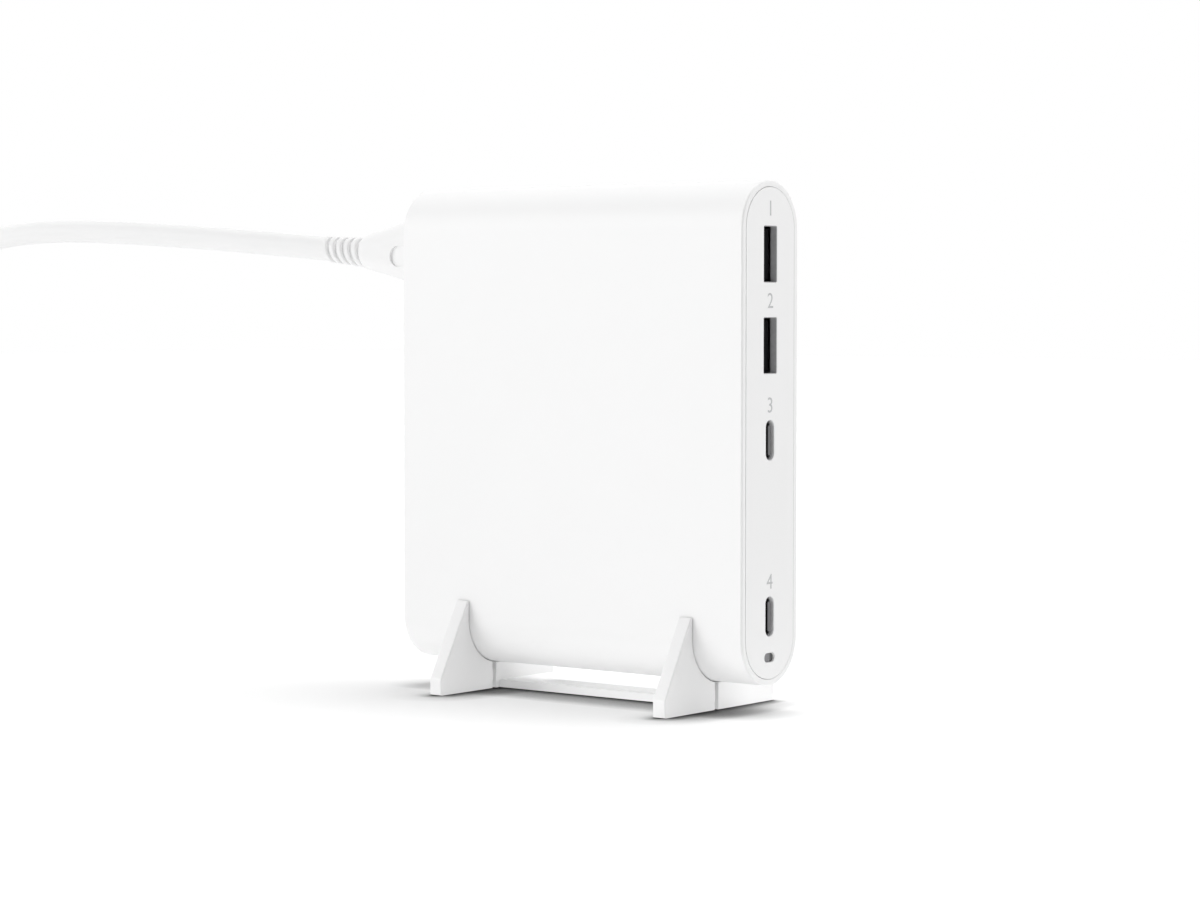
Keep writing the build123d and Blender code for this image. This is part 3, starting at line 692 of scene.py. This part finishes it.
def column(name, sections, vertices, tilt=0.0):
    """Stadiums stacked along X. Each section is its x, its middle's y and z, its width and its height."""
    x, y, z, width, height = sections[0]
    shape = disc(name, (x, y, z), width / 2, vertices)
    if tilt:
        bpy.ops.transform.rotate(value=tilt, orient_axis="Y", center_override=(x, y, z))
    gap = (height - width) / 2
    if gap > TINY:
        spread(shape, x, z, gap)
    for next_x, next_y, next_z, width_here, height_here in sections[1:]:
        bpy.ops.mesh.extrude_region_move(
            TRANSFORM_OT_translate={"value": (next_x - x, next_y - y, next_z - z)}
        )
        ratio = width_here / width
        bpy.ops.transform.resize(value=(1, ratio, ratio), center_override=(next_x, next_y, next_z))
        gap_here = (height_here - width_here) / 2
        if abs(gap_here - gap * ratio) > TINY:
            spread(shape, next_x, next_z, gap_here - gap * ratio)
        x, y, z, width, gap = next_x, next_y, next_z, width_here, gap_here
    face_outwards()
    return shape


def rib_sections(x, y, z, step, sizes, ribs, groove, depth, tip):
    """Sections of a ribbed sleeve that tapers along X, with soft lips beside each groove."""
    start, end = sizes
    pitch = step / ribs
    share = abs(groove / pitch)
    lip = 0.14
    sections = []
    for n in range(ribs):
        wide, next_wide = (start + (end - start) * k / ribs for k in (n, n + 1))
        outline = (
            (0, wide - 2 * depth),
            (share, wide - 2 * depth),
            (share, wide - depth * 0.5),
            (share + lip * 0.5, wide - depth * 0.12),
            (share + lip, wide),
            (1 - lip, next_wide),
            (1 - lip * 0.4, next_wide - depth * 0.12),
            (1, next_wide - depth * 0.5),
        )
        sections += [(x + n * pitch + pitch * at, y, z, size, size) for at, size in outline]
    sections.append((x + step, y, z, tip, tip))
    return sections


class CHARGER_OT_housing(bpy.types.Operator):
    """Model the sleeve of the housing"""

    bl_idname = "charger.housing"
    bl_label = "Housing"

    def execute(self, context):
        sizes = context.scene.charger_housing
        sleeve = sleeve_prism("sleeve", SLEEVE_LOW.x, SLEEVE_HIGH.x, 0.0, sizes.segments)
        hollow(sleeve, sizes.wall)
        round_edges(sleeve, sizes.rim_round, 4, 60.0)
        line_end = SLEEVE_HIGH.x - sizes.rim_round
        line = sleeve_prism("line", line_end - sizes.seam_width, line_end, PAST, sizes.segments)
        core = sleeve_prism("core", line_end - MM, line_end + MM, -2 * sizes.seam_depth, sizes.segments)
        cut(line, core)
        cut(sleeve, line)
        self.add_rails(sleeve, sizes)
        smooth(sleeve)
        plastic = moulded_plastic("white_shell_plastic", tuple(sizes.white))
        place_piece(sleeve, "white_shell", plastic, "housing_sleeve")
        return {"FINISHED"}

    def add_rails(self, sleeve, sizes):
        """Two pairs of rails inside, which hold the long edges of the main board."""
        board_low, board_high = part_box("main_board")
        board_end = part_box("port_board")[0].x - sizes.board_gap
        inlet_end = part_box("mains_inlet")[1].x + sizes.board_gap
        straight = CENTRE[1] - SLEEVE_LOW.z - SLEEVE_HIGH.y
        bow = SLEEVE_HIGH.y - sizes.wall / 2
        for side, start, edge in ((-1, board_low.x, board_low.z), (1, inlet_end, board_high.z)):
            foot = edge - side * sizes.rail_grip
            for near in (
                board_low.y - sizes.rail_clearance - sizes.rail_width,
                board_high.y + sizes.rail_clearance,
            ):
                far = near + sizes.rail_width
                root = CENTRE[1] + side * (straight + math.sqrt(bow**2 - far**2))
                low, high = sorted((foot, root))
                cut(sleeve, box("rail", (start, near, low), (board_end, far, high)), "UNION")


def usb_a_block(name, number, start, end, ports, fit):
    """A solid of the outline of a USB-A opening, smaller by a fit all round."""
    z = middle_z(f"usb_a_shell_{number}")
    half_width = ports.usb_a_width / 2 - fit
    half_opening = ports.usb_a_opening / 2 - fit
    block = box(name, (start, -half_opening, z - half_width), (end, half_opening, z + half_width))
    edit(block)
    pick(block, "EDGE", lengthwise)
    bpy.ops.mesh.bevel(offset=ports.usb_a_corner, segments=4)
    return block


def usb_c_block(name, number, start, end, ports, fit):
    """A solid of the outline of a USB-C opening, smaller by a fit all round."""
    centre = (0.0, middle_z(f"usb_c_shell_{number}"))
    width = ports.usb_c_opening - 2 * fit
    return stadium_prism(name, start, end, centre, width, ports.usb_c_width - 2 * fit, 48)


class CHARGER_OT_end_plates(bpy.types.Operator):
    """Model the port plate with its openings, and the rear plate"""

    bl_idname = "charger.end_plates"
    bl_label = "End plates"

    def blank(self, name, outer, inward, sizes):
        """A stadium plate with a skirt behind it."""
        depth = PLATE_HIGH.x - PLATE_LOW.x
        inset = 2 * (sizes.wall + sizes.plate_gap)
        plate = sleeve_prism(name, outer, outer + inward * sizes.plate, -inset, sizes.segments)
        edit(plate)
        pick(plate, "FACE", lambda face: face.normal.x * inward > ALIGNED)
        bpy.ops.mesh.inset(thickness=sizes.skirt, use_boundary=True)
        skirt = lambda face: face.normal.x * inward > ALIGNED and len(face.verts) == 4
        pick(plate, "FACE", skirt)
        bpy.ops.mesh.extrude_region_move(
            TRANSFORM_OT_translate={"value": (inward * (depth - sizes.plate), 0, 0)}
        )
        return plate

    def execute(self, context):
        sizes = context.scene.charger_housing
        ports = context.scene.charger_ports
        plastic = bpy.data.materials["white_shell_plastic"]
        outer = PLATE_HIGH.x
        reach = (outer + PAST_PLATE, outer - PAST_PLATE)
        front = self.blank("port_plate", outer, -1, sizes)
        for number in (1, 2):
            cut(front, usb_a_block("opening", number, *reversed(reach), ports, 0.0))
        for number in (1, 2):
            cut(front, usb_c_block("opening", number, *reach, ports, 0.0))
        lamp = (0.0, middle_z("led_light_pipe"))
        cut(front, stadium_prism("window", *reach, lamp, ports.window_width, ports.window_height, 48))
        rear = self.blank("rear_plate", -outer, 1, sizes)
        inlet = (0.0, middle_z("mains_inlet"))
        reach = (-outer - PAST_PLATE, -outer + PAST_PLATE)
        cut(rear, stadium_prism("mouth", *reach, inlet, sizes.inlet_width, sizes.inlet_height, 64))
        for plate, node in ((front, "port_face_plate"), (rear, "rear_face_plate")):
            round_edges(plate, sizes.hole_edge, 2, 50.0)
            smooth(plate)
            place_piece(plate, "white_shell", plastic, node)
        return {"FINISHED"}


class CHARGER_OT_port_numbers(bpy.types.Operator):
    """Print a plain number beside each port"""

    bl_idname = "charger.port_numbers"
    bl_label = "Port numbers"

    def execute(self, context):
        ports = context.scene.charger_ports
        ink = printed("grey_print", tuple(ports.print_grey))
        for number, z in enumerate(NUMBER_LEVELS, 1):
            deselect()
            turn = (math.pi / 2, 0, math.pi / 2)
            bpy.ops.object.text_add(location=(PLATE_HIGH.x, 0, z), rotation=turn)
            text = bpy.context.object
            text.data.body = str(number)
            text.data.size = ports.number_size
            text.data.align_x = "CENTER"
            text.data.align_y = "CENTER"
            text.data.extrude = ports.print_depth
            bpy.ops.object.convert(target="MESH")
            mark = added(f"port_number_{number}")
            place_piece(mark, "port_insulator", ink)
        return {"FINISHED"}


class CHARGER_OT_receptacles(bpy.types.Operator):
    """Finish the shells, insulators, contacts and status light of the ports"""

    bl_idname = "charger.receptacles"
    bl_label = "Receptacles"

    def execute(self, context):
        finishes = {
            "port_shell": metal("nickel_shell", (0.26, 0.26, 0.27), 0.34, (0.2, 1, 1)),
            "port_insulator": moulded_plastic(
                "black_insulator", (0.008, 0.008, 0.009), 0.7, 4200.0, gloss=0.1
            ),
            "contact_gold": metal("gold_contact", (0.83, 0.6, 0.26), 0.28, (0.2, 1, 1)),
            "plated_pins": metal("nickel_pin", (0.72, 0.7, 0.66), 0.26, (0.15, 1, 1)),
            "light_pipe": smoked_lens("frosted_light_pipe", (0.3, 0.3, 0.31)),
            "led_body": dipped("led_lens", (0.85, 0.82, 0.6), 0.3, 900.0),
        }
        paint(finishes)
        # Painted light: the small ports' insulators get a grey copy of the black insulator plastic, so that
        # they read as lit.
        tongue = moulded_plastic("tongue_painted_lit_grey", (0.16, 0.16, 0.165), 0.5, 4200.0)
        for name in ("usb_c_insulator_1", "usb_c_insulator_2"):
            nodes[name].data.materials[0] = tongue
        dipped("satin_mouth", (0.46, 0.46, 0.47), 0.5, 1200.0, 0.000005)
        # Painted light: the small ports' mouths get a lighter copy of the mouth finish, which makes up for
        # the light that their tongues keep out.
        dipped("painted_light_mouth", (0.8, 0.8, 0.81), 0.5, 1200.0, 0.000005)
        return {"FINISHED"}


def paint(finishes):
    """Gives each shown solid of these slots its finish."""
    for part in frame["record"]["subparts"]:
        finish = finishes.get(part["material_slot"])
        if finish is not None:
            solid = nodes[part["node"]]
            solid.data.materials.clear()
            solid.data.materials.append(finish)


class CHARGER_OT_port_mouths(bpy.types.Operator):
    """Model the mouths of the port shells, which reach the face, and the tongue ends of the small ports"""

    bl_idname = "charger.port_mouths"
    bl_label = "Port mouths"

    def sheet(self, mouth, thickness, finish):
        """Gives a solid the wall of a formed sheet."""
        hollow(mouth, thickness)
        round_edges(mouth, thickness / 4, 2, 60.0)
        smooth(mouth)
        place_piece(mouth, "port_shell", bpy.data.materials[finish])

    def execute(self, context):
        ports = context.scene.charger_ports
        face = PLATE_HIGH.x - ports.lip_setback
        # Where the painted light on each small port's tongue begins.
        painted_light_start = PLATE_HIGH.x - ports.tongue_setback - ports.tongue_nose
        painted_lit_tongue = tipped_tongue("tipped_tongue", (0.006, 0.006, 0.007), (0.17, 0.17, 0.175), painted_light_start)
        for number in (1, 2):
            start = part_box(f"usb_a_shell_{number}")[1].x
            mouth = usb_a_block(f"port_mouth_{number}", number, start, face, ports, ports.lip_fit)
            self.sheet(mouth, ports.usb_a_sheet, "satin_mouth")
        for number in (1, 2):
            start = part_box(f"usb_c_shell_{number}")[1].x
            mouth = usb_c_block(f"port_mouth_{number + 2}", number, start, face, ports, ports.lip_fit)
            # The small ports' mouths take the lighter copy of the mouth finish, which is painted light.
            self.sheet(mouth, ports.usb_c_sheet, "painted_light_mouth")
            tongue = stadium_prism(
                f"port_tongue_{number + 2}",
                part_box(f"usb_c_insulator_{number}")[1].x,
                PLATE_HIGH.x - ports.tongue_setback,
                (0.0, middle_z(f"usb_c_shell_{number}")),
                ports.tongue_thickness,
                ports.tongue_width,
                32,
            )
            round_edges(tongue, ports.tongue_nose, 3, 60.0)
            smooth(tongue)
            place_piece(tongue, "port_insulator", painted_lit_tongue)
        return {"FINISHED"}


class CHARGER_OT_inside(bpy.types.Operator):
    """Finish the boards and the components inside the housing"""

    bl_idname = "charger.inside"
    bl_label = "Inside"

    def execute(self, context):
        finishes = {
            "circuit_board": board_mask("green_board", (0.03, 0.16, 0.07)),
            "chip_package": dipped("chip_epoxy", (0.02, 0.02, 0.022), 0.55, 1400.0),
            "capacitor_sleeve": dipped("shrink_sleeve", (0.02, 0.025, 0.05), 0.35, 300.0, 0.00002, 0.2),
            "capacitor_can": metal("drawn_can", (0.72, 0.72, 0.73), 0.3, (1, 0.15, 1)),
            "film_capacitor_box": dipped("yellow_box", (0.75, 0.52, 0.04), 0.4, 500.0),
            "disc_coating": dipped("blue_dip", (0.04, 0.12, 0.42), 0.3, 400.0, 0.00005, 0.3),
            "fuse_case": dipped("brown_case", (0.2, 0.06, 0.03), 0.4, 500.0),
            "ferrite": dipped("sintered_ferrite", (0.055, 0.055, 0.058), 0.6, 1600.0, 0.00006),
            "copper_wire": metal("enamelled_copper", (0.72, 0.34, 0.14), 0.35, (1, 0.2, 1)),
            "winding_tape": dipped("yellow_tape", (0.85, 0.62, 0.1), 0.25, 350.0, 0.00003, 0.3),
            "bobbin_plastic": moulded_plastic("bobbin_black", (0.03, 0.03, 0.03), 0.5),
            "spreader_metal": metal("spreader_sheet", (0.7, 0.71, 0.72), 0.38, (0.1, 1, 1)),
            "insulation_paper": dipped("pressed_paper", (0.72, 0.72, 0.69), 0.85, 900.0, 0.00005),
        }
        paint(finishes)
        return {"FINISHED"}


class CHARGER_OT_stand(bpy.types.Operator):
    """Model the feet of the stand and the plate that joins them"""

    bl_idname = "charger.stand"
    bl_label = "Stand"

    def half_foot(self, name, low, high, side, sizes):
        """A wedge on the front (-1) or the rear (1), hollowed to the housing's outline."""
        reach = STAND_HIGH.y
        tip = STAND_HIGH.z
        near, far = sorted((side * sizes.seam / 2 - sizes.seam_offset, side * reach))
        wedge = box(name, (low, near, 0), (high, far, tip))
        edit(wedge)
        bpy.ops.mesh.select_all(action="SELECT")
        outward = Vector((0, side * (tip - sizes.toe), reach - sizes.seat - sizes.tip_flat))
        bpy.ops.mesh.bisect(
            plane_co=(0, side * reach, sizes.toe),
            plane_no=outward.normalized(),
            use_fill=True,
            clear_outer=True,
            threshold=TINY,
        )
        gap = sizes.seat - SLEEVE_HIGH.y
        room = stadium_prism(
            "room",
            low - PAST,
            high + PAST,
            CENTRE,
            2 * sizes.seat,
            SLEEVE_HIGH.z - SLEEVE_LOW.z + 2 * gap,
            160,
        )
        cut(wedge, room)
        return wedge

    def peg(self, x, sizes, clearance):
        """The peg on a rear half that plugs into the front half, or the room for it."""
        rear = sizes.seam / 2 - sizes.seam_offset
        half = sizes.peg_width / 2 + clearance
        return box(
            "peg",
            (x - half, rear - sizes.seam - sizes.peg_length - clearance, sizes.peg_lift - clearance),
            (x + half, rear + PEG_ROOT, sizes.peg_lift + sizes.peg_height + clearance),
        )

    def soften(self, piece, sizes):
        """Rounds the long outer edges of the feet."""
        edit(piece)
        inner = sizes.seat + 0.8 * MM
        upper = STAND_HIGH.z - 0.5 * MM
        pick(
            piece,
            "EDGE",
            lambda edge: sharp(edge, 25) and abs(middle(edge).y) > inner and middle(edge).z < upper,
        )
        bpy.ops.mesh.bevel(offset=sizes.edge, segments=3, clamp_overlap=True)
        smooth(piece)

    def execute(self, context):
        sizes = context.scene.charger_stand
        plastic = moulded_plastic("white_stand_plastic", tuple(sizes.white))
        rear_feet, middles = [], []
        for name in ("stand_fin_left", "stand_fin_right"):
            low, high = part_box(name)
            x = (low.x + high.x) / 2
            fin = self.half_foot(name.replace("stand_fin", "front_fin"), low.x, high.x, -1, sizes)
            cut(fin, self.peg(x, sizes, sizes.peg_clearance))
            self.soften(fin, sizes)
            place_piece(fin, "white_stand", plastic, name)
            foot = self.half_foot("rear_foot", low.x, high.x, 1, sizes)
            cut(foot, self.peg(x, sizes, 0.0), "UNION")
            rear_feet.append(foot)
            middles.append(x)
        left, right = middles
        plate = box("stand_plate", (left, sizes.plate_front, 0), (right, STAND_HIGH.y, sizes.plate))
        place = ((left + right) / 2, sizes.slot_y, -PAST)
        slot = disc("slot", place, sizes.slot_width / 2, 64, "Z")
        stretch = (sizes.slot_length - sizes.slot_width) / 2
        draw_out(slot, place, (stretch, 0, 0), (0, 0, 3 * PAST))
        cut(plate, slot)
        for foot in rear_feet:
            cut(plate, foot, "UNION")
        self.soften(plate, sizes)
        plate.name = "stand_rear"
        place_piece(plate, "white_stand", plastic, "stand_base")
        return {"FINISHED"}


class CHARGER_OT_connector(bpy.types.Operator):
    """Model the connector at the charger's end of the lead, with its ribbed strain relief"""

    bl_idname = "charger.connector"
    bl_label = "Connector"

    def execute(self, context):
        lead = context.scene.charger_lead
        sheath = soft_sheath("white_sheath", tuple(lead.white))
        z = middle_z("mains_inlet")
        sections = [
            ((SHOULDER - behind) * MM, 0, z, width * MM, height * MM)
            for behind, height, width in CONNECTOR_SECTIONS
        ]
        body = column("lead_connector", sections, 96)
        for side in (-1, 1):
            cut(body, self.thumb_recess(side, z))
        edit(body)
        rim_y, rim_x = 4.2 * MM, (SHOULDER - 0.7) * MM
        pick(
            body,
            "EDGE",
            lambda edge: sharp(edge, 40) and abs(middle(edge).y) > rim_y and middle(edge).x < rim_x,
        )
        bpy.ops.mesh.bevel(offset=0.12 * MM, segments=2, clamp_overlap=True)
        root = (SHOULDER - 20.6) * MM
        bend = (SHOULDER - 22.8) * MM
        collar = ((2.2, 5.6), (2.2, 7.5), (0.15, 7.6))
        sections = [(root + ahead * MM, 0, z, size * MM, size * MM) for ahead, size in collar]
        ends, groove, depth, tip = (7.7 * MM, 6.7 * MM), 0.95 * MM, 0.85 * MM, 5.9 * MM
        sections += rib_sections(root, 0, z, -12.6 * MM, ends, 5, groove, depth, tip)
        relief = column("relief", sections, 48, lead.rib_tilt)
        edit(relief)
        bpy.ops.mesh.select_all(action="SELECT")
        flatness = 0.85
        bpy.ops.transform.resize(value=(1, flatness, 1), center_override=(root, 0, z))
        bpy.ops.transform.rotate(value=-lead.rise, orient_axis="Y", center_override=(bend, 0, z))
        nose_end = (SHOULDER + 12.6) * MM
        nose = stadium_prism("nose", SHOULDER * MM, nose_end, (0.0, z), 8.0 * MM, 16.0 * MM, 64)
        smooth(body, 40.0)
        smooth(relief, 30.0)
        smooth(nose, 40.0)
        join(body, relief, nose)
        place_piece(body, "lead_sheath", sheath, "cord_connector")
        return {"FINISHED"}

    def thumb_recess(self, side, z):
        """The room for a round-ended recess on one flat side, deepest at its outer end."""
        centre = ((SHOULDER - 4.2) * MM, side * 5.37 * MM, z - 1.2 * MM)
        outer_end = ((SHOULDER - 8.8) * MM, side * 4.37 * MM, z)
        radius, depth, half_length, slant = 2.5 * MM, 2.0 * MM, 2.1 * MM, math.radians(6.2)
        deselect()
        bpy.ops.mesh.primitive_cylinder_add(
            vertices=64, radius=radius, depth=depth, location=centre, rotation=(math.pi / 2, 0, 0)
        )
        recess = added("thumb_recess")
        edit(recess)
        for end in (-1, 1):
            pick(recess, "VERT", lambda v: end * (v.co.x - centre[0]) > TINY)
            bpy.ops.transform.translate(value=(end * half_length, 0, 0))
        bpy.ops.mesh.select_all(action="SELECT")
        bpy.ops.transform.rotate(value=-side * slant, orient_axis="Z", center_override=outer_end)
        return recess


class CHARGER_OT_plug(bpy.types.Operator):
    """Model the wall plug at the far end of the lead"""

    bl_idname = "charger.plug"
    bl_label = "Plug"

    def execute(self, context):
        sheath = bpy.data.materials["white_sheath"]
        low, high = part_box("wall_plug_body")
        y = (low.y + high.y) / 2
        z = (low.z + high.z) / 2
        half_width = (high.y - low.y) / 2
        half_height = (high.z - low.z) / 2
        start = high.x - PLUG_BLOCK * MM
        body = box(
            "lead_plug",
            (start, y - half_width, z - half_height),
            (high.x, y + half_width, z + half_height),
        )
        corner, rim = 4.5 * MM, 0.8 * MM
        edit(body)
        pick(body, "EDGE", lengthwise)
        bpy.ops.mesh.bevel(offset=corner, segments=8)
        pick(body, "FACE", lambda face: face.normal.x < -ALIGNED)
        for (x, width, height), (next_x, next_width, next_height) in zip(PLUG_SECTIONS, PLUG_SECTIONS[1:]):
            way = ((x - next_x) * MM, 0, 0)
            bpy.ops.mesh.extrude_region_move(TRANSFORM_OT_translate={"value": way})
            bpy.ops.transform.resize(
                value=(1, next_width / width, next_height / height),
                center_override=(start - next_x * MM, y, z),
            )
        pick(body, "EDGE", lambda edge: abs(middle(edge).x - high.x) < 0.01 * MM)
        bpy.ops.mesh.bevel(offset=rim, segments=3)
        smooth(body, 40.0)
        neck = start - 11 * MM
        ends, groove, depth, tip = (8.0 * MM, 6.7 * MM), 0.9 * MM, 0.7 * MM, 5.9 * MM
        collar = (neck + 0.5 * MM, y, z, 6.9 * MM, 6.9 * MM)
        ribs = rib_sections(neck, y, z, low.x - neck, ends, 4, groove, depth, tip)
        relief = column("relief", [collar, *ribs], 48)
        smooth(relief, 30.0)
        join(body, relief)
        place_piece(body, "lead_sheath", sheath, "wall_plug_body")
        return {"FINISHED"}


class CHARGER_OT_ties(bpy.types.Operator):
    """Model the straps that hold the put-away lead"""

    bl_idname = "charger.ties"
    bl_label = "Straps"

    def execute(self, context):
        lead = context.scene.charger_lead
        strap_cloth = woven("woven_strap", (0.55, 0.55, 0.56))
        low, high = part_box("cord_ties")
        half, thick, corner = 3.5 * MM, 0.8 * MM, 2.4 * MM
        slack, margin, end_low, end_high = 0.4 * MM, 0.6 * MM, 7 * MM, 17 * MM
        for side, word in ((-1, "near"), (1, "far")):
            y = side * lead.hank_radius
            strap = box(
                f"strap_{word}", (low.x, y - half - slack, low.z), (high.x, y + half + slack, high.z)
            )
            hollow(strap, thick, corner)
            flank = y + side * (half - 0.3 * MM)
            end = box(
                "strap_end",
                (low.x + margin, flank - 0.35 * MM, end_low),
                (high.x - margin, flank + 0.7 * MM, end_high),
            )
            round_edges(end, 0.3 * MM, 2)
            round_edges(strap, 0.2 * MM, 2, 60.0)
            join(strap, end)
            smooth(strap)
            place_piece(strap, "tie_strap", strap_cloth, "cord_ties")
        return {"FINISHED"}


class CHARGER_OT_lead(bpy.types.Operator):
    """Lay the mains lead from the connector to the put-away hank and the plug"""

    bl_idname = "charger.lead"
    bl_label = "Lead"

    def route(self, lead):
        """Control points of the lead, in metres: over and down, round the hank's laps, then to the plug."""
        radius = lead.hank_radius
        near, far = lead.hank_near, lead.hank_far
        layer = lead.diameter
        top = 21.1 * MM
        straight_end = 12 * MM
        points = [
            (-0.082, 0.0, 0.104086),
            (-0.142813, 0.0, 0.109085),
            (-0.206, 0.003, 0.1105),
            (-0.242, 0.009, 0.101),
            (-0.266, 0.014, 0.073),
            (-0.282, 0.018, 0.043),
            (-0.304, radius, top),
        ]
        turns = [math.radians(degrees) for degrees in (15, 45, 75, 105, 135, 165)]
        outer = radius / math.cos(turns[0])
        for lap in range(lead.hank_laps):
            z = top - lap * layer
            points += [(near - straight_end, radius, z), (far + straight_end, radius, z)]
            points += [(far - outer * math.sin(t), outer * math.cos(t), z) for t in turns]
            points += [(far + straight_end, -radius, z), (near - straight_end, -radius, z)]
            if lap < lead.hank_laps - 1:
                for t in turns:
                    drop = layer * t / math.pi
                    points.append((near + outer * math.sin(t), -outer * math.cos(t), z - drop))
        bottom = top - (lead.hank_laps - 1) * layer
        points += [
            (-0.315, -radius, bottom),
            (-0.295, -0.0105, 0.007),
            (-0.277, -0.0105, 0.007),
        ]
        return points

    def execute(self, context):
        lead = context.scene.charger_lead
        points = self.route(lead)
        curve = bpy.data.curves.new("mains_lead", "CURVE")
        curve.dimensions = "3D"
        spline = curve.splines.new("NURBS")
        spline.points.add(len(points) - 1)
        for point, place in zip(spline.points, points):
            point.co = (*place, 1)
        spline.order_u = 3
        spline.use_endpoint_u = True
        curve.resolution_u = 10
        curve.bevel_depth = lead.diameter / 2
        curve.bevel_resolution = 7
        curve.use_fill_caps = True
        cord = bpy.data.objects.new("mains_lead", curve)
        context.scene.collection.objects.link(cord)
        place_piece(
            cord,
            "lead_sheath",
            bpy.data.materials["white_sheath"],
            "power_cord_run",
            "power_cord_hank",
            "power_cord_tail",
        )
        return {"FINISHED"}


class CHARGER_OT_studio(bpy.types.Operator):
    """Set up the floor, the lights and the camera"""

    bl_idname = "charger.studio"
    bl_label = "Studio"

    def white_floor(self, studio):
        """A table lit from below. What is seen of it is lifted to white, and darkened by a painted shadow
        near the charger.
        """
        finish = Finish("white_floor")
        depth = studio.shade_depth
        lift = (studio.floor_lift,) * 3
        glow = (studio.floor_glow,) * 3
        paper = finish.blend(finish.noise(30.0), (0.955,) * 3, (0.965,) * 3)
        # The way in which the floor looks for open sky: to the rear and the left, away from the overhang.
        lean = finish.node(
            "ShaderNodeCombineXYZ", None, {"X": -0.5, "Y": 0.68, "Z": 0.54}, output="Vector"
        )
        # Painted shadow: ambient occlusion darkens the floor's colour and lift where the camera sees it,
        # near the charger.
        contact, wider = (
            finish.node(
                "ShaderNodeAmbientOcclusion", {"samples": 16}, {"Distance": reach, "Normal": lean}, "AO"
            )
            for reach in (studio.contact_reach, studio.shade_reach)
        )
        contact, wider = (((sky - depth) * (1 / (1 - depth))).most(0) for sky in (contact, wider))
        painted_shadow_open_share = contact * (1 - studio.shade_share + wider * studio.shade_share)
        from_middle = finish.node(
            "ShaderNodeVectorMath", {"operation": "LENGTH"}, {"Vector": finish.place}, output="Value"
        )
        faded = finish.ramp(from_middle, studio.glow_inner, studio.glow_outer)
        sent_up = finish.blend(faded, glow, (0, 0, 0))
        seen = seen_directly(finish)
        finish.set(
            base_color=finish.blend(seen * (1 - painted_shadow_open_share), paper, (0, 0, 0)),
            roughness=0.9,
            specular_ior_level=0.0,
            emission_color=finish.blend(seen, sent_up, finish.blend(painted_shadow_open_share, (0, 0, 0), lift)),
            emission_strength=1.0,
        )
        return finish.material

    def sun(self, name, azimuth, elevation, softness, level):
        """A lamp far away. Azimuth 0 is the front, 90 degrees the end with the ports."""
        light = bpy.data.lights.new(name, "SUN")
        light.angle = math.radians(softness)
        light.energy = level * math.pi
        lamp = bpy.data.objects.new(name, light)
        towards = direction(math.radians(azimuth), math.radians(elevation))
        lamp.rotation_euler = (-towards).to_track_quat("-Z", "Y").to_euler()
        bpy.context.scene.collection.objects.link(lamp)

    def execute(self, context):
        studio = context.scene.charger_studio
        deselect()
        bpy.ops.mesh.primitive_plane_add(size=8.0, location=(0, 0, 0))
        floor = added("floor")
        floor.data.materials.append(self.white_floor(studio))
        # Each lamp's azimuth, elevation and softness in degrees, and its level.
        self.sun("front", -45.0, 14.0, 45.0, studio.front)
        self.sun("side", 137.0, 15.0, 40.0, studio.side)
        self.sun("top", 170.0, 74.0, 40.0, studio.top)
        world = bpy.data.worlds.new("studio_white")
        context.scene.world = world
        world.use_nodes = True
        backdrop = Nodes(world.node_tree)
        sky = backdrop.tree.nodes["Background"]
        level = backdrop.blend(seen_directly(backdrop), (studio.sky,) * 3, (1, 1, 1))
        backdrop.feed(sky.inputs["Color"], level)
        camera = bpy.data.cameras.new("camera")
        camera.lens = studio.lens
        camera.sensor_width = 36.0
        camera.sensor_fit = "HORIZONTAL"
        camera.clip_start = 0.01
        seat = bpy.data.objects.new("camera", camera)
        back = direction(studio.yaw, studio.pitch)
        seat.location = Vector(studio.target) + back * studio.distance
        seat.rotation_euler = (-back).to_track_quat("-Z", "Y").to_euler()
        context.scene.collection.objects.link(seat)
        context.scene.camera = seat
        context.scene.view_settings.view_transform = "Standard"
        return {"FINISHED"}


STEPS = (
    CHARGER_OT_studio,
    CHARGER_OT_housing,
    CHARGER_OT_end_plates,
    CHARGER_OT_port_numbers,
    CHARGER_OT_receptacles,
    CHARGER_OT_port_mouths,
    CHARGER_OT_inside,
    CHARGER_OT_stand,
    CHARGER_OT_connector,
    CHARGER_OT_plug,
    CHARGER_OT_ties,
    CHARGER_OT_lead,
)


class CHARGER_PT_sidebar(bpy.types.Panel):
    """Lists the steps that dress the charger"""

    bl_idname = "CHARGER_PT_sidebar"
    bl_label = "Charger"
    bl_space_type = "VIEW_3D"
    bl_region_type = "UI"
    bl_category = "Charger"

    def draw(self, context):
        for step in STEPS:
            self.layout.operator(step.bl_idname)


GROUPS = {
    "charger_housing": HousingSettings,
    "charger_ports": PortSettings,
    "charger_stand": StandSettings,
    "charger_lead": LeadSettings,
    "charger_studio": StudioSettings,
}


def register():
    for name, group in GROUPS.items():
        bpy.utils.register_class(group)
        setattr(bpy.types.Scene, name, PointerProperty(type=group))
    for step in (*STEPS, CHARGER_PT_sidebar):
        bpy.utils.register_class(step)


def unregister():
    for step in reversed((*STEPS, CHARGER_PT_sidebar)):
        bpy.utils.unregister_class(step)
    for name, group in GROUPS.items():
        delattr(bpy.types.Scene, name)
        bpy.utils.unregister_class(group)


def main():
    register()
    bpy.ops.charger.studio()
    bpy.ops.charger.housing()
    bpy.ops.charger.end_plates()
    bpy.ops.charger.port_numbers()
    bpy.ops.charger.receptacles()
    bpy.ops.charger.port_mouths()
    bpy.ops.charger.inside()
    bpy.ops.charger.stand()
    bpy.ops.charger.connector()
    bpy.ops.charger.plug()
    bpy.ops.charger.ties()
    bpy.ops.charger.lead()


if __name__ == "__main__":
    main()
